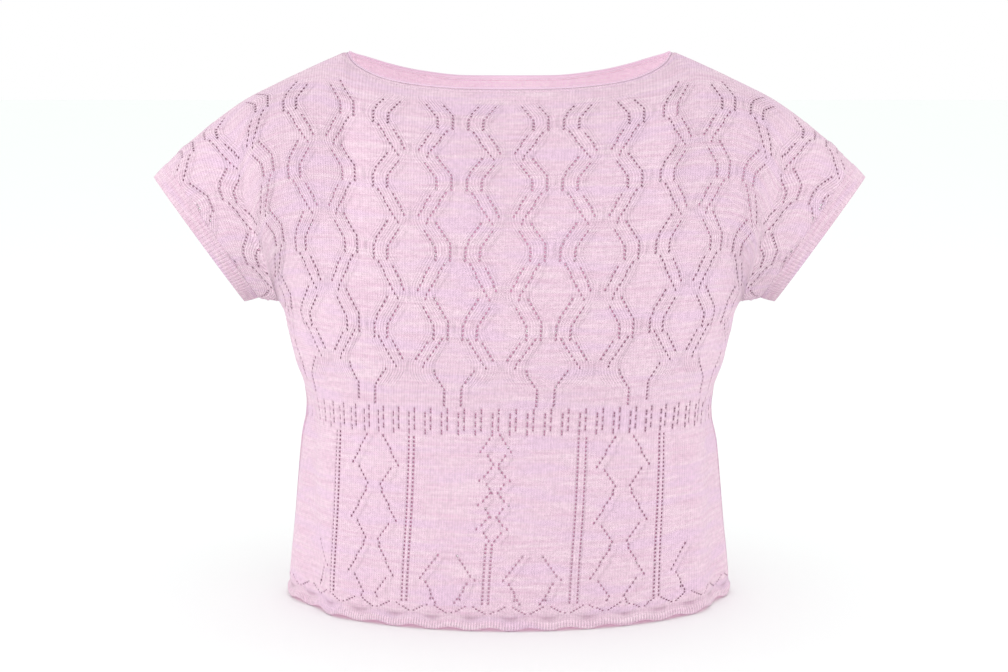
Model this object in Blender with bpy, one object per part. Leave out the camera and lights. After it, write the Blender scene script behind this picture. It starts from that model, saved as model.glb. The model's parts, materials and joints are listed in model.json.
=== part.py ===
"""Lace-knit jumper with cap sleeves, standing filled out and hollow: front, back, two cuffs, neck edge.

Tables are in millimetres. A wale is one knitted column, counted from the centre line outwards. A rise is
a height along the cloth: 0 at the underarm, 1 at the neck and shoulder edge, -1 at the hem.
+X is the wearer's left, -Y the front and +Z up. The origin lies midway between the two shoulders at the
height of the neck opening's corners, where a wearer holds the jumper up.
"""

import math

import bmesh
import bpy
import numpy as np

MM = 0.001
WALL = 2.0  # thickness of the knitted cloth
SEAM_GAP = 0.3  # room between pieces along every seam
CUFF_GAP = 0.4  # and between the sleeve and its cuff, whose seam curves more finely than the sleeve's end

# The hem is scalloped, and the wall's columns of points follow its scallops
SCALLOPS = 15  # scallops on each panel
COLUMNS_PER_SCALLOP = 4
SCALLOP_DROP = 1.35  # how far a scallop dips below the hem's mean line, and a notch rises above it
SIDE_WALE = 104.0  # side seam, and the armhole line above it
SIDE_COLUMN = SCALLOPS * COLUMNS_PER_SCALLOP // 2
NECK_COLUMN = 16  # where the neckline meets the shoulder seam
NECK_WALE = NECK_COLUMN * SIDE_WALE / SIDE_COLUMN
CUFF_WALE = 130.0  # the cap sleeve's last wale along the shoulder
CUFF_COLUMN = SIDE_COLUMN + 6

UNDERARM = -222.0  # height of the underarm ring
HEM = -494.5  # height of the hem's mean line at the front and back
HEM_SIDE_LIFT = 5.0  # the hem rides up a little at the side seams
YOKE_ROWS = 8  # rows of points from the neck and shoulder edge to the underarm
BODY_ROWS = (-222, -234, -252, -275, -300, -325, -350, -376, -402, -428, -454, -477, HEM)

CUFF_RIBS = 80
CUFF_RIB_HEIGHT = 0.9
CUFF_SIDES = ((0.0, 1.0), (0.5, 1.25), (1.0, 0.9))  # share of the cuff's width, how full its rib is there
CUFF_EDGE_TOP = (321.0, -109.5)  # x and z of the cuff's free edge on the shoulder line
CUFF_EDGE_LOW = (241.5, -222.5)
CUFF_EDGE_REACH = 75.0

NECKBAND_HEIGHT = 4.6
NECKBAND_SECTION = ((-0.5, -1.45), (0.2, -1.6), (0.5, -0.8), (0.5, 0.8), (0.2, 1.6), (-0.5, 1.45))
NECKBAND_CLEAR = 0.45  # from the panels' neck edge to the band, whose chords lie a little nearer

# Neck edge of both panels, from the centre to the corner of the boat neck
NECKLINE = {
    "wale": (0, 16, 32, 43, 49.5, 53, NECK_WALE),
    "x": (0, 41, 83, 111, 130, 141, 147.5),
    "front_y": (77.5, 76, 64, 47, 28, 13, 0),
    "front_z": (-28.5, -27.5, -24.5, -20.5, -15.5, -9, 0.5),
    "back_y": (62.5, 61, 51, 38, 22, 10, 0),
    "back_z": (-26, -25, -19.5, -13, -7, -3.5, 0.5),
}
# Shoulder seam, running on along the top of the cap sleeve to the cuff
SHOULDER = {
    "wale": (NECK_WALE, 64, 73, 83, 94, 104, 113, 122, CUFF_WALE),
    "x": (147.5, 166, 188, 211, 236.5, 258.5, 277, 294.5, 309.5),
    "z": (0.5, -6.5, -15.5, -26, -39, -54, -68.5, -83.5, -97.5),
}
# Seam under the cap sleeve, from the armpit to the cuff
SLEEVE_UNDER = {"wale": (SIDE_WALE, CUFF_WALE), "x": (209, 229), "z": (-222, -219)}
# How each wale runs from the edge above down to the underarm ring. It leaves the edge falling by `fall`
# degrees from the level, and meets the ring turned by `turn` degrees from upright towards the front. Towards
# the cuff its middle is drawn inwards, away from the sleeve's end, by `inset`.
WALE_RUN = {
    "wale": (0, NECK_WALE, 72, 84, 94, SIDE_WALE, 117, CUFF_WALE),
    "edge_reach": (70, 75, 82, 88, 92, 90, 81, 77),
    "fall": (62, 20, 12, 6, 3, 0, 0, 0),
    "ring_reach": (70, 80, 82, 84, 86, 85, 80, 77),
    "turn": (0, 4, 14, 32, 58, 90, 90, 90),
    "inset": (0, 0, 0, 0, 1.5, 4, 8.5, 12.5),
}
# The body below the armholes, as level half ellipses
BODY = {
    "z": (-500, -466, -430, -390, -350, -324, -300, -275, -250, -232, -222),
    "half_width": (202.5, 200, 196, 192.5, 189, 186, 189, 195.5, 200, 204, 209),
    "front_depth": (126, 125, 122, 118, 114.5, 114, 118, 124, 128, 128.5, 128),
    "back_depth": (122, 121, 117, 112, 108, 107, 109, 113, 117, 119, 120),
}
# Soft folds: each runs from one (wale, rise) to another and swells (+) or sinks (-) the wall
FOLD_NAMES = ("panel", "wale_a", "rise_a", "wale_b", "rise_b", "width", "height")
FOLDS = (
    ("front", -95, -0.36, -80, -0.97, 17, -7.0),  # the flank falls in below the waist, right of the wearer
    ("front", -80, -0.55, -66, -1.00, 13, 2.5),
    ("front", 96, -0.36, 88, -1.00, 15, -6.0),  # and less deeply on the wearer's left
    ("front", 78, -0.50, 75, -1.00, 11, 2.0),
    ("front", 66, -0.38, 68, -0.95, 5, -1.4),
    ("both", -104, -0.45, -104, -1.00, 18, 3.0),
    ("both", 104, -0.50, 104, -1.00, 16, 2.5),
    ("front", -102, 0.66, -101, 0.20, 22, -4.0),  # cloth sinks in front of each armhole
    ("front", 102, 0.60, 101, 0.22, 20, -3.0),
    ("front", -44, 0.10, -52, -0.14, 60, 2.0),
    ("front", 44, 0.10, 52, -0.14, 60, 2.0),
    ("back", -92, -0.30, -70, -0.92, 18, -6.0),
    ("back", 94, -0.34, 80, -0.96, 16, -5.0),
    ("back", -30, -0.28, -44, -0.88, 20, -3.5),
    ("back", 22, -0.40, 34, -0.97, 18, -3.0),
    ("back", -66, -0.36, 58, -0.40, 20, -2.5),
    ("back", -101, 0.62, -100, 0.20, 22, -4.0),
    ("back", 102, 0.64, 101, 0.22, 20, -3.5),
    ("back", -58, 0.62, -74, 0.20, 18, -2.5),
    ("back", 52, 0.66, 72, 0.26, 16, -2.0),
)
FOLD_EDGE = 0.12  # folds fade out over this share of the rise below the neck and shoulder edge
FOLD_SLEEVE_RISE = 0.4  # and over this share above the seam under the sleeve,
FOLD_SLEEVE_WALE = 80.0  # from this wale outwards
FOLD_CUFF_FADE = 1.6  # how soon folds reach full height inwards of the cuff
FOLD_SHARPNESS = 1.7  # how narrow a fold's swell is within its stated width
RISE_LENGTH = 230.0  # mean length of cloth that one unit of rise stands for
WALE_WIDTH = 2.5
CURVE_POINTS = 240  # points along the curves on which even spacings are found
SHARP_ANGLE = 50.0  # edges that turn more than this stay sharp


def along(table, name, at):
    """A table's column read at `at` along its first column, on a monotone cubic with no overshoot."""
    keys = list(table)
    x = np.array(table[keys[0]], float)
    y = np.array(table[name], float)
    at = np.clip(np.asarray(at, float), x[0], x[-1])
    step = np.diff(x)
    slope = np.diff(y) / step
    tangent = np.empty_like(y)
    tangent[0], tangent[-1] = slope[0], slope[-1]
    same = slope[:-1] * slope[1:] > 0
    weight_a = 2 * step[1:] + step[:-1]
    weight_b = step[1:] + 2 * step[:-1]
    safe = np.where(same, slope[:-1], 1.0), np.where(same, slope[1:], 1.0)
    mean = (weight_a + weight_b) / (weight_a / safe[0] + weight_b / safe[1])
    tangent[1:-1] = np.where(same, mean, 0.0)
    i = np.clip(np.searchsorted(x, at, side="right") - 1, 0, len(x) - 2)
    s = (at - x[i]) / step[i]
    return (
        (1 + 2 * s) * (1 - s) ** 2 * y[i]
        + s * (1 - s) ** 2 * step[i] * tangent[i]
        + s**2 * (3 - 2 * s) * y[i + 1]
        + s**2 * (s - 1) * step[i] * tangent[i + 1]
    )


def ring_points(wale, z, panel):
    """Points of the body's ring at height z, for wales 0 to the side seam, as x, distance from y = 0, z."""
    turn = np.linspace(0, math.pi / 2, CURVE_POINTS)
    width = along(BODY, "half_width", z)
    depth = along(BODY, f"{panel}_depth", z)
    x, y = width * np.sin(turn), depth * np.cos(turn)
    run = np.concatenate([[0], np.cumsum(np.hypot(np.diff(x), np.diff(y)))])
    at = np.interp(np.asarray(wale) / SIDE_WALE * run[-1], run, turn)
    return np.stack([width * np.sin(at), depth * np.cos(at), np.full(at.shape, float(z))], -1)


def edge_points(wale, panel):
    """Points of the neck edge and the shoulder seam, for wales 0 to the cuff."""
    neck = wale < NECK_WALE
    x = np.where(neck, along(NECKLINE, "x", wale), along(SHOULDER, "x", wale))
    y = np.where(neck, along(NECKLINE, f"{panel}_y", wale), 0.0)
    z = np.where(neck, along(NECKLINE, f"{panel}_z", wale), along(SHOULDER, "z", wale))
    return np.stack([x, y, z], -1)


def yoke_point(wale, share, panel):
    """The wale's point at a share 0 to 1 of the way from the edge above to the underarm ring."""
    top = edge_points(wale, panel)
    on_ring = ring_points(np.minimum(wale, SIDE_WALE), UNDERARM, panel)
    under = np.stack(
        [along(SLEEVE_UNDER, "x", wale), np.zeros_like(wale), along(SLEEVE_UNDER, "z", wale)], -1
    )
    low = np.where((wale < SIDE_WALE)[:, None], on_ring, under)
    fall = np.radians(along(WALE_RUN, "fall", wale))
    turn = np.radians(along(WALE_RUN, "turn", wale))
    level = np.zeros_like(wale)
    leave = np.stack([level, np.cos(fall), -np.sin(fall)], -1)
    meet = np.stack([level, np.sin(turn), np.cos(turn)], -1)
    inwards = -CUFF_PLANE * along(WALE_RUN, "inset", wale)[:, None]
    a = top + leave * along(WALE_RUN, "edge_reach", wale)[:, None] + inwards
    b = low + meet * along(WALE_RUN, "ring_reach", wale)[:, None] + inwards
    s = share
    return (1 - s) ** 3 * top + 3 * s * (1 - s) ** 2 * a + 3 * s**2 * (1 - s) * b + s**3 * low


def hem_height(wale):
    lift = HEM_SIDE_LIFT * (wale / SIDE_WALE) ** 2
    return HEM + lift - SCALLOP_DROP * np.cos(2 * math.pi * wale * SCALLOPS / (2 * SIDE_WALE))


def wale_of(column):
    """Columns are even to the side seam and even again over the cap sleeve."""
    sleeve = SIDE_WALE + (column - SIDE_COLUMN) * (CUFF_WALE - SIDE_WALE) / (CUFF_COLUMN - SIDE_COLUMN)
    return np.where(column <= SIDE_COLUMN, column * SIDE_WALE / SIDE_COLUMN, sleeve)


COLUMNS = np.arange(-CUFF_COLUMN, CUFF_COLUMN + 1)
WALES = np.sign(COLUMNS) * wale_of(np.abs(COLUMNS))
LAST_ROW = YOKE_ROWS + len(BODY_ROWS) - 1
IN_BODY = np.abs(COLUMNS) <= SIDE_COLUMN


def rises():
    yoke = 1 - np.arange(YOKE_ROWS + 1) / YOKE_ROWS
    body = (np.array(BODY_ROWS[1:], float) - UNDERARM) / (UNDERARM - HEM)
    return np.concatenate([yoke, body])


def base_surface(panel):
    """The panel's outer points before its folds: rows from the top edge down, columns from -X to +X."""
    side = -1 if panel == "front" else 1
    points = np.full((LAST_ROW + 1, len(COLUMNS), 3), np.nan)
    for row in range(YOKE_ROWS + 1):
        points[row] = yoke_point(np.abs(WALES), row / YOKE_ROWS, panel)
    for row, z in enumerate(BODY_ROWS[1:], YOKE_ROWS + 1):
        wale = np.abs(WALES[IN_BODY])
        points[row, IN_BODY] = ring_points(wale, z, panel)
        if z == HEM:
            points[row, IN_BODY, 2] = hem_height(wale)
    points[..., 0] *= np.where(WALES < 0, -1, 1)
    points[..., 1] = side * (points[..., 1] + SEAM_GAP / 2)
    return points


def unit(v):
    return v / np.maximum(np.linalg.norm(v, axis=-1, keepdims=True), np.finfo(float).tiny)


def block_normals(points, side):
    across = np.gradient(points, axis=1)
    down = np.gradient(points, axis=0)
    return unit(np.cross(down, across) * -side)


def cuff_plane():
    """The direction out of the left cap sleeve's end, square to the line from its top to its underside."""
    run = SHOULDER["x"][-1] - SLEEVE_UNDER["x"][-1]
    rise = SHOULDER["z"][-1] - SLEEVE_UNDER["z"][-1]
    return unit(np.array([rise, 0.0, -run]))


CUFF_PLANE = cuff_plane()


def normals_of(points, panel):
    """Outward normals, held square to the seams so that each seam's two edges stay parallel."""
    side = -1 if panel == "front" else 1
    normals = np.full(points.shape, np.nan)
    normals[: YOKE_ROWS + 1] = block_normals(points[: YOKE_ROWS + 1], side)
    body = block_normals(points[YOKE_ROWS:, IN_BODY], side)
    normals[YOKE_ROWS, IN_BODY] = unit(normals[YOKE_ROWS, IN_BODY] + body[0])
    normals[YOKE_ROWS + 1 :, IN_BODY] = body[1:]
    at_side = np.abs(COLUMNS) == SIDE_COLUMN
    normals[YOKE_ROWS:, at_side, 1] = 0
    normals[YOKE_ROWS, np.abs(COLUMNS) >= SIDE_COLUMN, 1] = 0
    normals[0, np.abs(COLUMNS) >= NECK_COLUMN, 1] = 0
    for column, mirror in ((-1, 1), (0, -1)):
        plane = CUFF_PLANE * [mirror, 1, 1]
        edge = normals[: YOKE_ROWS + 1, column]
        normals[: YOKE_ROWS + 1, column] = edge - (edge @ plane)[:, None] * plane
    return unit(normals)


def fold_height(panel):
    """How far the folds move each point of the panel outwards."""
    wale, rise = np.meshgrid(WALES, rises())
    across, up = wale * WALE_WIDTH, rise * RISE_LENGTH
    total = np.zeros(wale.shape)
    for row in FOLDS:
        fold = dict(zip(FOLD_NAMES, row))
        if fold["panel"] not in (panel, "both"):
            continue
        a = np.array([fold["wale_a"] * WALE_WIDTH, fold["rise_a"] * RISE_LENGTH])
        b = np.array([fold["wale_b"] * WALE_WIDTH, fold["rise_b"] * RISE_LENGTH])
        run = b - a
        share = np.clip(((across - a[0]) * run[0] + (up - a[1]) * run[1]) / (run @ run), 0, 1)
        away = np.hypot(across - a[0] - share * run[0], up - a[1] - share * run[1])
        total += fold["height"] * np.exp(-((away / (fold["width"] * WALE_WIDTH / FOLD_SHARPNESS)) ** 2))
    top = np.clip((1 - rise) / FOLD_EDGE, 0, 1)
    cuff = np.clip((CUFF_WALE - np.abs(wale)) / (CUFF_WALE - SIDE_WALE), 0, 1)
    near_sleeve = np.clip((np.abs(wale) - FOLD_SLEEVE_WALE) / (SIDE_WALE - FOLD_SLEEVE_WALE), 0, 1)
    under_sleeve = 1 - near_sleeve * (1 - np.clip(rise / FOLD_SLEEVE_RISE, 0, 1))
    return total * np.where(rise < 0, 1.0, top * np.minimum(1.0, FOLD_CUFF_FADE * cuff) * under_sleeve)


def surfaces(panel):
    """The panel's outer and inner points."""
    points = base_surface(panel)
    points += normals_of(points, panel) * fold_height(panel)[..., None]
    return points, points - normals_of(points, panel) * WALL


def paint(obj, name, colour, roughness):
    material = bpy.data.materials.new(name)
    material.use_nodes = True
    shader = material.node_tree.nodes["Principled BSDF"]
    shader.inputs["Base Color"].default_value = (*colour, 1.0)
    shader.inputs["Roughness"].default_value = roughness
    obj.data.materials.append(material)


def solid(name, points, faces, colour):
    """One closed body from points in millimetres."""
    mesh = bpy.data.meshes.new(name)
    mesh.from_pydata([tuple(p) for p in np.asarray(points) * MM], [], faces)
    shape = bmesh.new()
    shape.from_mesh(mesh)
    bmesh.ops.recalc_face_normals(shape, faces=shape.faces[:])
    shape.to_mesh(mesh)
    shape.free()
    mesh.shade_smooth()
    mesh.set_sharp_from_angle(angle=math.radians(SHARP_ANGLE))
    obj = bpy.data.objects.new(name, mesh)
    bpy.context.scene.collection.objects.link(obj)
    paint(obj, f"{name}_knit", colour, 0.85)
    return obj


def wall_faces(outer, inner, edge):
    """Faces of a wall between two grids of point numbers, which hold -1 where there is no point.

    edge walks round the wall's edge as (row, column) stations.
    """
    faces = []
    rows, columns = outer.shape
    for grid in (outer, inner):
        for row in range(rows - 1):
            for column in range(columns - 1):
                quad = (grid[row, column], grid[row, column + 1],
                        grid[row + 1, column + 1], grid[row + 1, column])
                if min(quad) >= 0:
                    faces.append(quad)
    for a, b in zip(edge, edge[1:] + edge[:1]):
        faces.append((outer[a], outer[b], inner[b], inner[a]))
    return faces


def panel_edge():
    """The stations round a panel: neck and shoulders, a cuff, under the sleeve, a side, the hem and back."""
    last = len(COLUMNS) - 1
    left, right = CUFF_COLUMN - SIDE_COLUMN, CUFF_COLUMN + SIDE_COLUMN
    return (
        [(0, column) for column in range(last)]
        + [(row, last) for row in range(YOKE_ROWS)]
        + [(YOKE_ROWS, column) for column in range(last, right, -1)]
        + [(row, right) for row in range(YOKE_ROWS, LAST_ROW)]
        + [(LAST_ROW, column) for column in range(right, left, -1)]
        + [(row, left) for row in range(LAST_ROW, YOKE_ROWS, -1)]
        + [(YOKE_ROWS, column) for column in range(left, 0, -1)]
        + [(row, 0) for row in range(YOKE_ROWS, 0, -1)]
    )


def panel_solid(panel, colour):
    outer_points, inner_points = surfaces(panel)
    exists = ~np.isnan(outer_points[..., 0])
    outer = np.full(exists.shape, -1)
    outer[exists] = np.arange(exists.sum())
    inner = np.where(exists, outer + exists.sum(), -1)
    points = np.concatenate([outer_points[exists], inner_points[exists]])
    return solid(panel, points, wall_faces(outer, inner, panel_edge()), colour)


def half_ring(top, low, reach_top, reach_low):
    """A cuff ring's front half from the shoulder seam down to the seam below, as a cubic curve.

    Its middle is drawn inwards, as the sleeve's last wale is.
    """
    s = np.linspace(0, 1, CURVE_POINTS)[:, None]
    a, b = np.array([top[0], 0.0, top[1]]), np.array([low[0], 0.0, low[1]])
    forward = np.array([0.0, -1.0, 0.0])
    inwards = -CUFF_PLANE * WALE_RUN["inset"][-1]
    return (
        (1 - s) ** 3 * a
        + 3 * s * (1 - s) ** 2 * (a + forward * reach_top + inwards)
        + 3 * s**2 * (1 - s) * (b + forward * reach_low + inwards)
        + s**3 * b
    )


def even_ring(front_half, count):
    """Points spaced evenly round the whole ring, whose back half mirrors its front."""
    back = front_half[::-1][1:-1] * [1, -1, 1]
    ring = np.concatenate([front_half, back, front_half[:1]])
    run = np.concatenate([[0], np.cumsum(np.linalg.norm(np.diff(ring, axis=0), axis=1))])
    at = np.arange(count) / count * run[-1]
    return np.stack([np.interp(at, run, ring[:, i]) for i in range(3)], -1)


def cuff_solid(name, mirror, colour):
    """A ribbed band round the cap sleeve's end: ribs raised outside, plain inside."""
    count = 2 * CUFF_RIBS
    seam_top = (SHOULDER["x"][-1], SHOULDER["z"][-1])
    seam_low = (SLEEVE_UNDER["x"][-1], SLEEVE_UNDER["z"][-1])
    seam = half_ring(seam_top, seam_low, WALE_RUN["edge_reach"][-1], WALE_RUN["ring_reach"][-1])
    start = even_ring(seam, count) + CUFF_PLANE * CUFF_GAP
    end = even_ring(half_ring(CUFF_EDGE_TOP, CUFF_EDGE_LOW, CUFF_EDGE_REACH, CUFF_EDGE_REACH), count)
    outwards = unit(np.cross(np.roll(start, -1, 0) - np.roll(start, 1, 0), CUFF_PLANE))
    if (outwards * (start - start.mean(0))).sum() < 0:
        outwards = -outwards
    rib = np.where(np.arange(count) % 2 == 0, 0.5, -0.5) * CUFF_RIB_HEIGHT
    rings = [start + (end - start) * share + outwards * (rib * full)[:, None]
             for share, full in CUFF_SIDES]
    inside = [start - outwards * WALL, end - outwards * WALL]
    points = np.concatenate(rings + [side[::2] for side in inside]) * [mirror, 1, 1]
    faces = []
    for low in range(len(rings) - 1):
        for i in range(count):
            j = (i + 1) % count
            faces.append((low * count + i, low * count + j, (low + 1) * count + j, (low + 1) * count + i))
    base = len(rings) * count
    half = count // 2
    for i in range(half):
        j = (i + 1) % half
        faces.append((base + i, base + half + i, base + half + j, base + j))
        for ring, inner in ((0, base), ((len(rings) - 1) * count, base + half)):
            a, middle, b = ring + 2 * i, ring + 2 * i + 1, ring + (2 * i + 2) % count
            faces += [(a, middle, inner + i), (middle, inner + j, inner + i), (middle, b, inner + j)]
    return solid(name, points, faces, colour)


def neck_ring():
    """The panels' neck edge as one closed ring, front corner to corner and back again, and its normals."""
    at_neck = np.abs(COLUMNS) <= NECK_COLUMN
    rings = []
    for panel in ("front", "back"):
        outer, inner = (side[0, at_neck] for side in surfaces(panel))
        rings.append((outer, unit(outer - inner)))
    (front, front_out), (back, back_out) = rings
    corners = [0, -1]
    front[corners] = (front[corners] + back[corners]) / 2
    front_out[corners] = unit(front_out[corners] + back_out[corners])
    return np.concatenate([front, back[::-1][1:-1]]), np.concatenate([front_out, back_out[::-1][1:-1]])


def neckband_solid(colour):
    """A narrow rounded edge that stands on the panels' neck edge all round."""
    ring, outwards = neck_ring()
    tangent = unit(np.roll(ring, -1, 0) - np.roll(ring, 1, 0))
    up = unit(np.cross(tangent, outwards))
    if up[:, 2].sum() < 0:
        up = -up
    centre = ring - outwards * WALL / 2 + up * (NECKBAND_CLEAR + NECKBAND_HEIGHT / 2)
    loops = [centre + up * NECKBAND_HEIGHT * rise + outwards * out for rise, out in NECKBAND_SECTION]
    count, sides = len(ring), len(loops)
    faces = []
    for side in range(sides):
        other = (side + 1) % sides
        for i in range(count):
            j = (i + 1) % count
            faces.append((side * count + i, side * count + j, other * count + j, other * count + i))
    return solid("neckband", np.concatenate(loops), faces, colour)


def clear_scene():
    for obj in list(bpy.data.objects):
        bpy.data.objects.remove(obj)


KNIT = (0.80, 0.56, 0.69)
EDGE = (0.83, 0.60, 0.72)

clear_scene()
panel_solid("front", KNIT)
panel_solid("back", KNIT)
cuff_solid("cuff_left", 1, EDGE)
cuff_solid("cuff_right", -1, EDGE)
neckband_solid(EDGE)
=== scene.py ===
"""Looks of the lace-knit jumper: lace front and back, ribbed cuffs and rolled neck edge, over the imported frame.

Every eyelet is a real hole between two layers of stitches. The lace is charted in wales, the knitted
columns counted from the centre line, and in cells of one wale by two courses, counted upwards.
The form's tables, in millimetres, are those of the part's own source, but the hem's sides hang lower and
the neck's corners stand a little higher, as in the photograph.
"""

import itertools
import json
import math

import bmesh
import bpy
import numpy as np
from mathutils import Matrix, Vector

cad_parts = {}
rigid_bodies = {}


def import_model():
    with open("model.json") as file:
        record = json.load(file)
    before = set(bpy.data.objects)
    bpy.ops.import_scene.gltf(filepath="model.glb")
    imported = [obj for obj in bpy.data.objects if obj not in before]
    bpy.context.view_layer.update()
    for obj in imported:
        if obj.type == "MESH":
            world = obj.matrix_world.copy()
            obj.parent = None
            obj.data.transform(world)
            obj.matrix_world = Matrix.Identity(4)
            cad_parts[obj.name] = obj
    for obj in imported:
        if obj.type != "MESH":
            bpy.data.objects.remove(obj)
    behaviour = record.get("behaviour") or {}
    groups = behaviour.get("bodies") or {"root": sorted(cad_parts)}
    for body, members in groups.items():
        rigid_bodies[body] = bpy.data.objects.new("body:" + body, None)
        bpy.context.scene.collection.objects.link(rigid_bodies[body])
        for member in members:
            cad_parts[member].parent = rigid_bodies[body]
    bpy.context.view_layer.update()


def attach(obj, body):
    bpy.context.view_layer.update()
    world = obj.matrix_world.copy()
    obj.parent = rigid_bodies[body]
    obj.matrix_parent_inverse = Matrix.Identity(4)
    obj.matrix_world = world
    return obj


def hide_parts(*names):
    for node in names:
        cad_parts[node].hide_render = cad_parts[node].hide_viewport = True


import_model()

bl_info = {
    "name": "Lace-knit jumper",
    "version": (1, 0, 0),
    "blender": (4, 5, 0),
    "location": "3D View > Sidebar > Jumper",
    "description": "Knits a jumper's lace panels, ribbed cuffs and neck edge over the packed frame",
    "category": "Object",
}

MM = 0.001

# ---------------------------------------------------------------- the form, as in the part's source

WALL = 2.0  # thickness of the knitted cloth
SEAM_GAP = 0.3
SCALLOPS = 15
SCALLOP_DROP = 1.35
SIDE_WALE = 104.0
NECK_WALE = 16 * SIDE_WALE / 30
CUFF_WALE = 130.0
UNDERARM = -222.0
HEM = -494.5
HEM_SIDE_LIFT = 1.0  # 4 mm less than in the source

CUFF_EDGE_TOP = (321.0, -109.5)
CUFF_EDGE_LOW = (241.5, -222.5)
CUFF_EDGE_REACH = 75.0

# Near the neck's corners, the heights in this table and the next are up to 3 mm above the source's
NECKLINE = {
    "wale": (0, 16, 32, 43, 49.5, 53, NECK_WALE),
    "x": (0, 41, 83, 111, 130, 141, 147.5),
    "front_y": (77.5, 76, 64, 47, 28, 13, 0),
    "front_z": (-27.5, -26.5, -23.5, -19, -12.5, -6, 3),
    "back_y": (62.5, 61, 51, 38, 22, 10, 0),
    "back_z": (-26, -25, -19, -11.5, -4.5, -0.5, 3),
}
SHOULDER = {
    "wale": (NECK_WALE, 64, 73, 83, 94, 104, 113, 122, CUFF_WALE),
    "x": (147.5, 166, 188, 211, 236.5, 258.5, 277, 294.5, 309.5),
    "z": (3, -5, -15, -26, -39, -54, -68.5, -83.5, -97.5),
}
SLEEVE_UNDER = {"wale": (SIDE_WALE, CUFF_WALE), "x": (209, 229), "z": (-222, -219)}
WALE_RUN = {
    "wale": (0, NECK_WALE, 72, 84, 94, SIDE_WALE, 117, CUFF_WALE),
    "edge_reach": (70, 75, 82, 88, 92, 90, 81, 77),
    "fall": (62, 20, 12, 6, 3, 0, 0, 0),
    "ring_reach": (70, 80, 82, 84, 86, 85, 80, 77),
    "turn": (0, 4, 14, 32, 58, 90, 90, 90),
    "inset": (0, 0, 0, 0, 1.5, 4, 8.5, 12.5),
}
BODY = {
    "z": (-500, -466, -430, -390, -350, -324, -300, -275, -250, -232, -222),
    "half_width": (202.5, 200, 196, 192.5, 189, 186, 189, 195.5, 200, 204, 209),
    "front_depth": (126, 125, 122, 118, 114.5, 114, 118, 124, 128, 128.5, 128),
    "back_depth": (122, 121, 117, 112, 108, 107, 109, 113, 117, 119, 120),
}
FOLD_NAMES = ("panel", "wale_a", "rise_a", "wale_b", "rise_b", "width", "height")
FOLDS = (
    ("front", -95, -0.36, -80, -0.97, 17, -7.0),
    ("front", -80, -0.55, -66, -1.00, 13, 2.5),
    ("front", 96, -0.36, 88, -1.00, 15, -6.0),
    ("front", 78, -0.50, 75, -1.00, 11, 2.0),
    ("front", 66, -0.38, 68, -0.95, 5, -1.4),
    ("both", -104, -0.45, -104, -1.00, 18, 3.0),
    ("both", 104, -0.50, 104, -1.00, 16, 2.5),
    ("front", -102, 0.66, -101, 0.20, 22, -4.0),
    ("front", 102, 0.60, 101, 0.22, 20, -3.0),
    ("front", -44, 0.10, -52, -0.14, 60, 2.0),
    ("front", 44, 0.10, 52, -0.14, 60, 2.0),
    ("back", -92, -0.30, -70, -0.92, 18, -6.0),
    ("back", 94, -0.34, 80, -0.96, 16, -5.0),
    ("back", -30, -0.28, -44, -0.88, 20, -3.5),
    ("back", 22, -0.40, 34, -0.97, 18, -3.0),
    ("back", -66, -0.36, 58, -0.40, 20, -2.5),
    ("back", -101, 0.62, -100, 0.20, 22, -4.0),
    ("back", 102, 0.64, 101, 0.22, 20, -3.5),
    ("back", -58, 0.62, -74, 0.20, 18, -2.5),
    ("back", 52, 0.66, 72, 0.26, 16, -2.0),
)
FOLD_EDGE = 0.12
FOLD_SLEEVE_RISE = 0.4
FOLD_SLEEVE_WALE = 80.0
FOLD_CUFF_FADE = 1.6
FOLD_SHARPNESS = 1.7
RISE_LENGTH = 230.0
WALE_WIDTH = 2.5
COURSE_HEIGHT = 1.8
CURVE_POINTS = 240

YOKE_STEPS = 60  # steps of the form's grid from the neck and shoulder edge to the underarm
BODY_STEPS = 76  # and from there to the hem
HEM_STEPS = 10  # the scallops fade in over this many of them
LAST_WALE = int(CUFF_WALE)
FORM_WALES = np.arange(-LAST_WALE, LAST_WALE + 1)
IN_BODY = np.abs(FORM_WALES) <= SIDE_WALE


def along(table, name, at):
    """A table's column read at `at` along its first column, on a monotone cubic with no overshoot."""
    keys = list(table)
    x = np.array(table[keys[0]], float)
    y = np.array(table[name], float)
    at = np.clip(np.asarray(at, float), x[0], x[-1])
    step = np.diff(x)
    slope = np.diff(y) / step
    tangent = np.empty_like(y)
    tangent[0], tangent[-1] = slope[0], slope[-1]
    same = slope[:-1] * slope[1:] > 0
    weight_a = 2 * step[1:] + step[:-1]
    weight_b = step[1:] + 2 * step[:-1]
    safe = np.where(same, slope[:-1], 1.0), np.where(same, slope[1:], 1.0)
    mean = (weight_a + weight_b) / (weight_a / safe[0] + weight_b / safe[1])
    tangent[1:-1] = np.where(same, mean, 0.0)
    i = np.clip(np.searchsorted(x, at, side="right") - 1, 0, len(x) - 2)
    s = (at - x[i]) / step[i]
    return (
        (1 + 2 * s) * (1 - s) ** 2 * y[i]
        + s * (1 - s) ** 2 * step[i] * tangent[i]
        + s**2 * (3 - 2 * s) * y[i + 1]
        + s**2 * (s - 1) * step[i] * tangent[i + 1]
    )


def smooth_step(x):
    x = np.clip(x, 0, 1)
    return x * x * (3 - 2 * x)


def ring_run(z, panel):
    """A quarter of the body's ring at height z: its points and the length of cloth along them."""
    turn = np.linspace(0, math.pi / 2, CURVE_POINTS)
    x = along(BODY, "half_width", z) * np.sin(turn)
    y = along(BODY, f"{panel}_depth", z) * np.cos(turn)
    return turn, np.concatenate([[0], np.cumsum(np.hypot(np.diff(x), np.diff(y)))])


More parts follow.
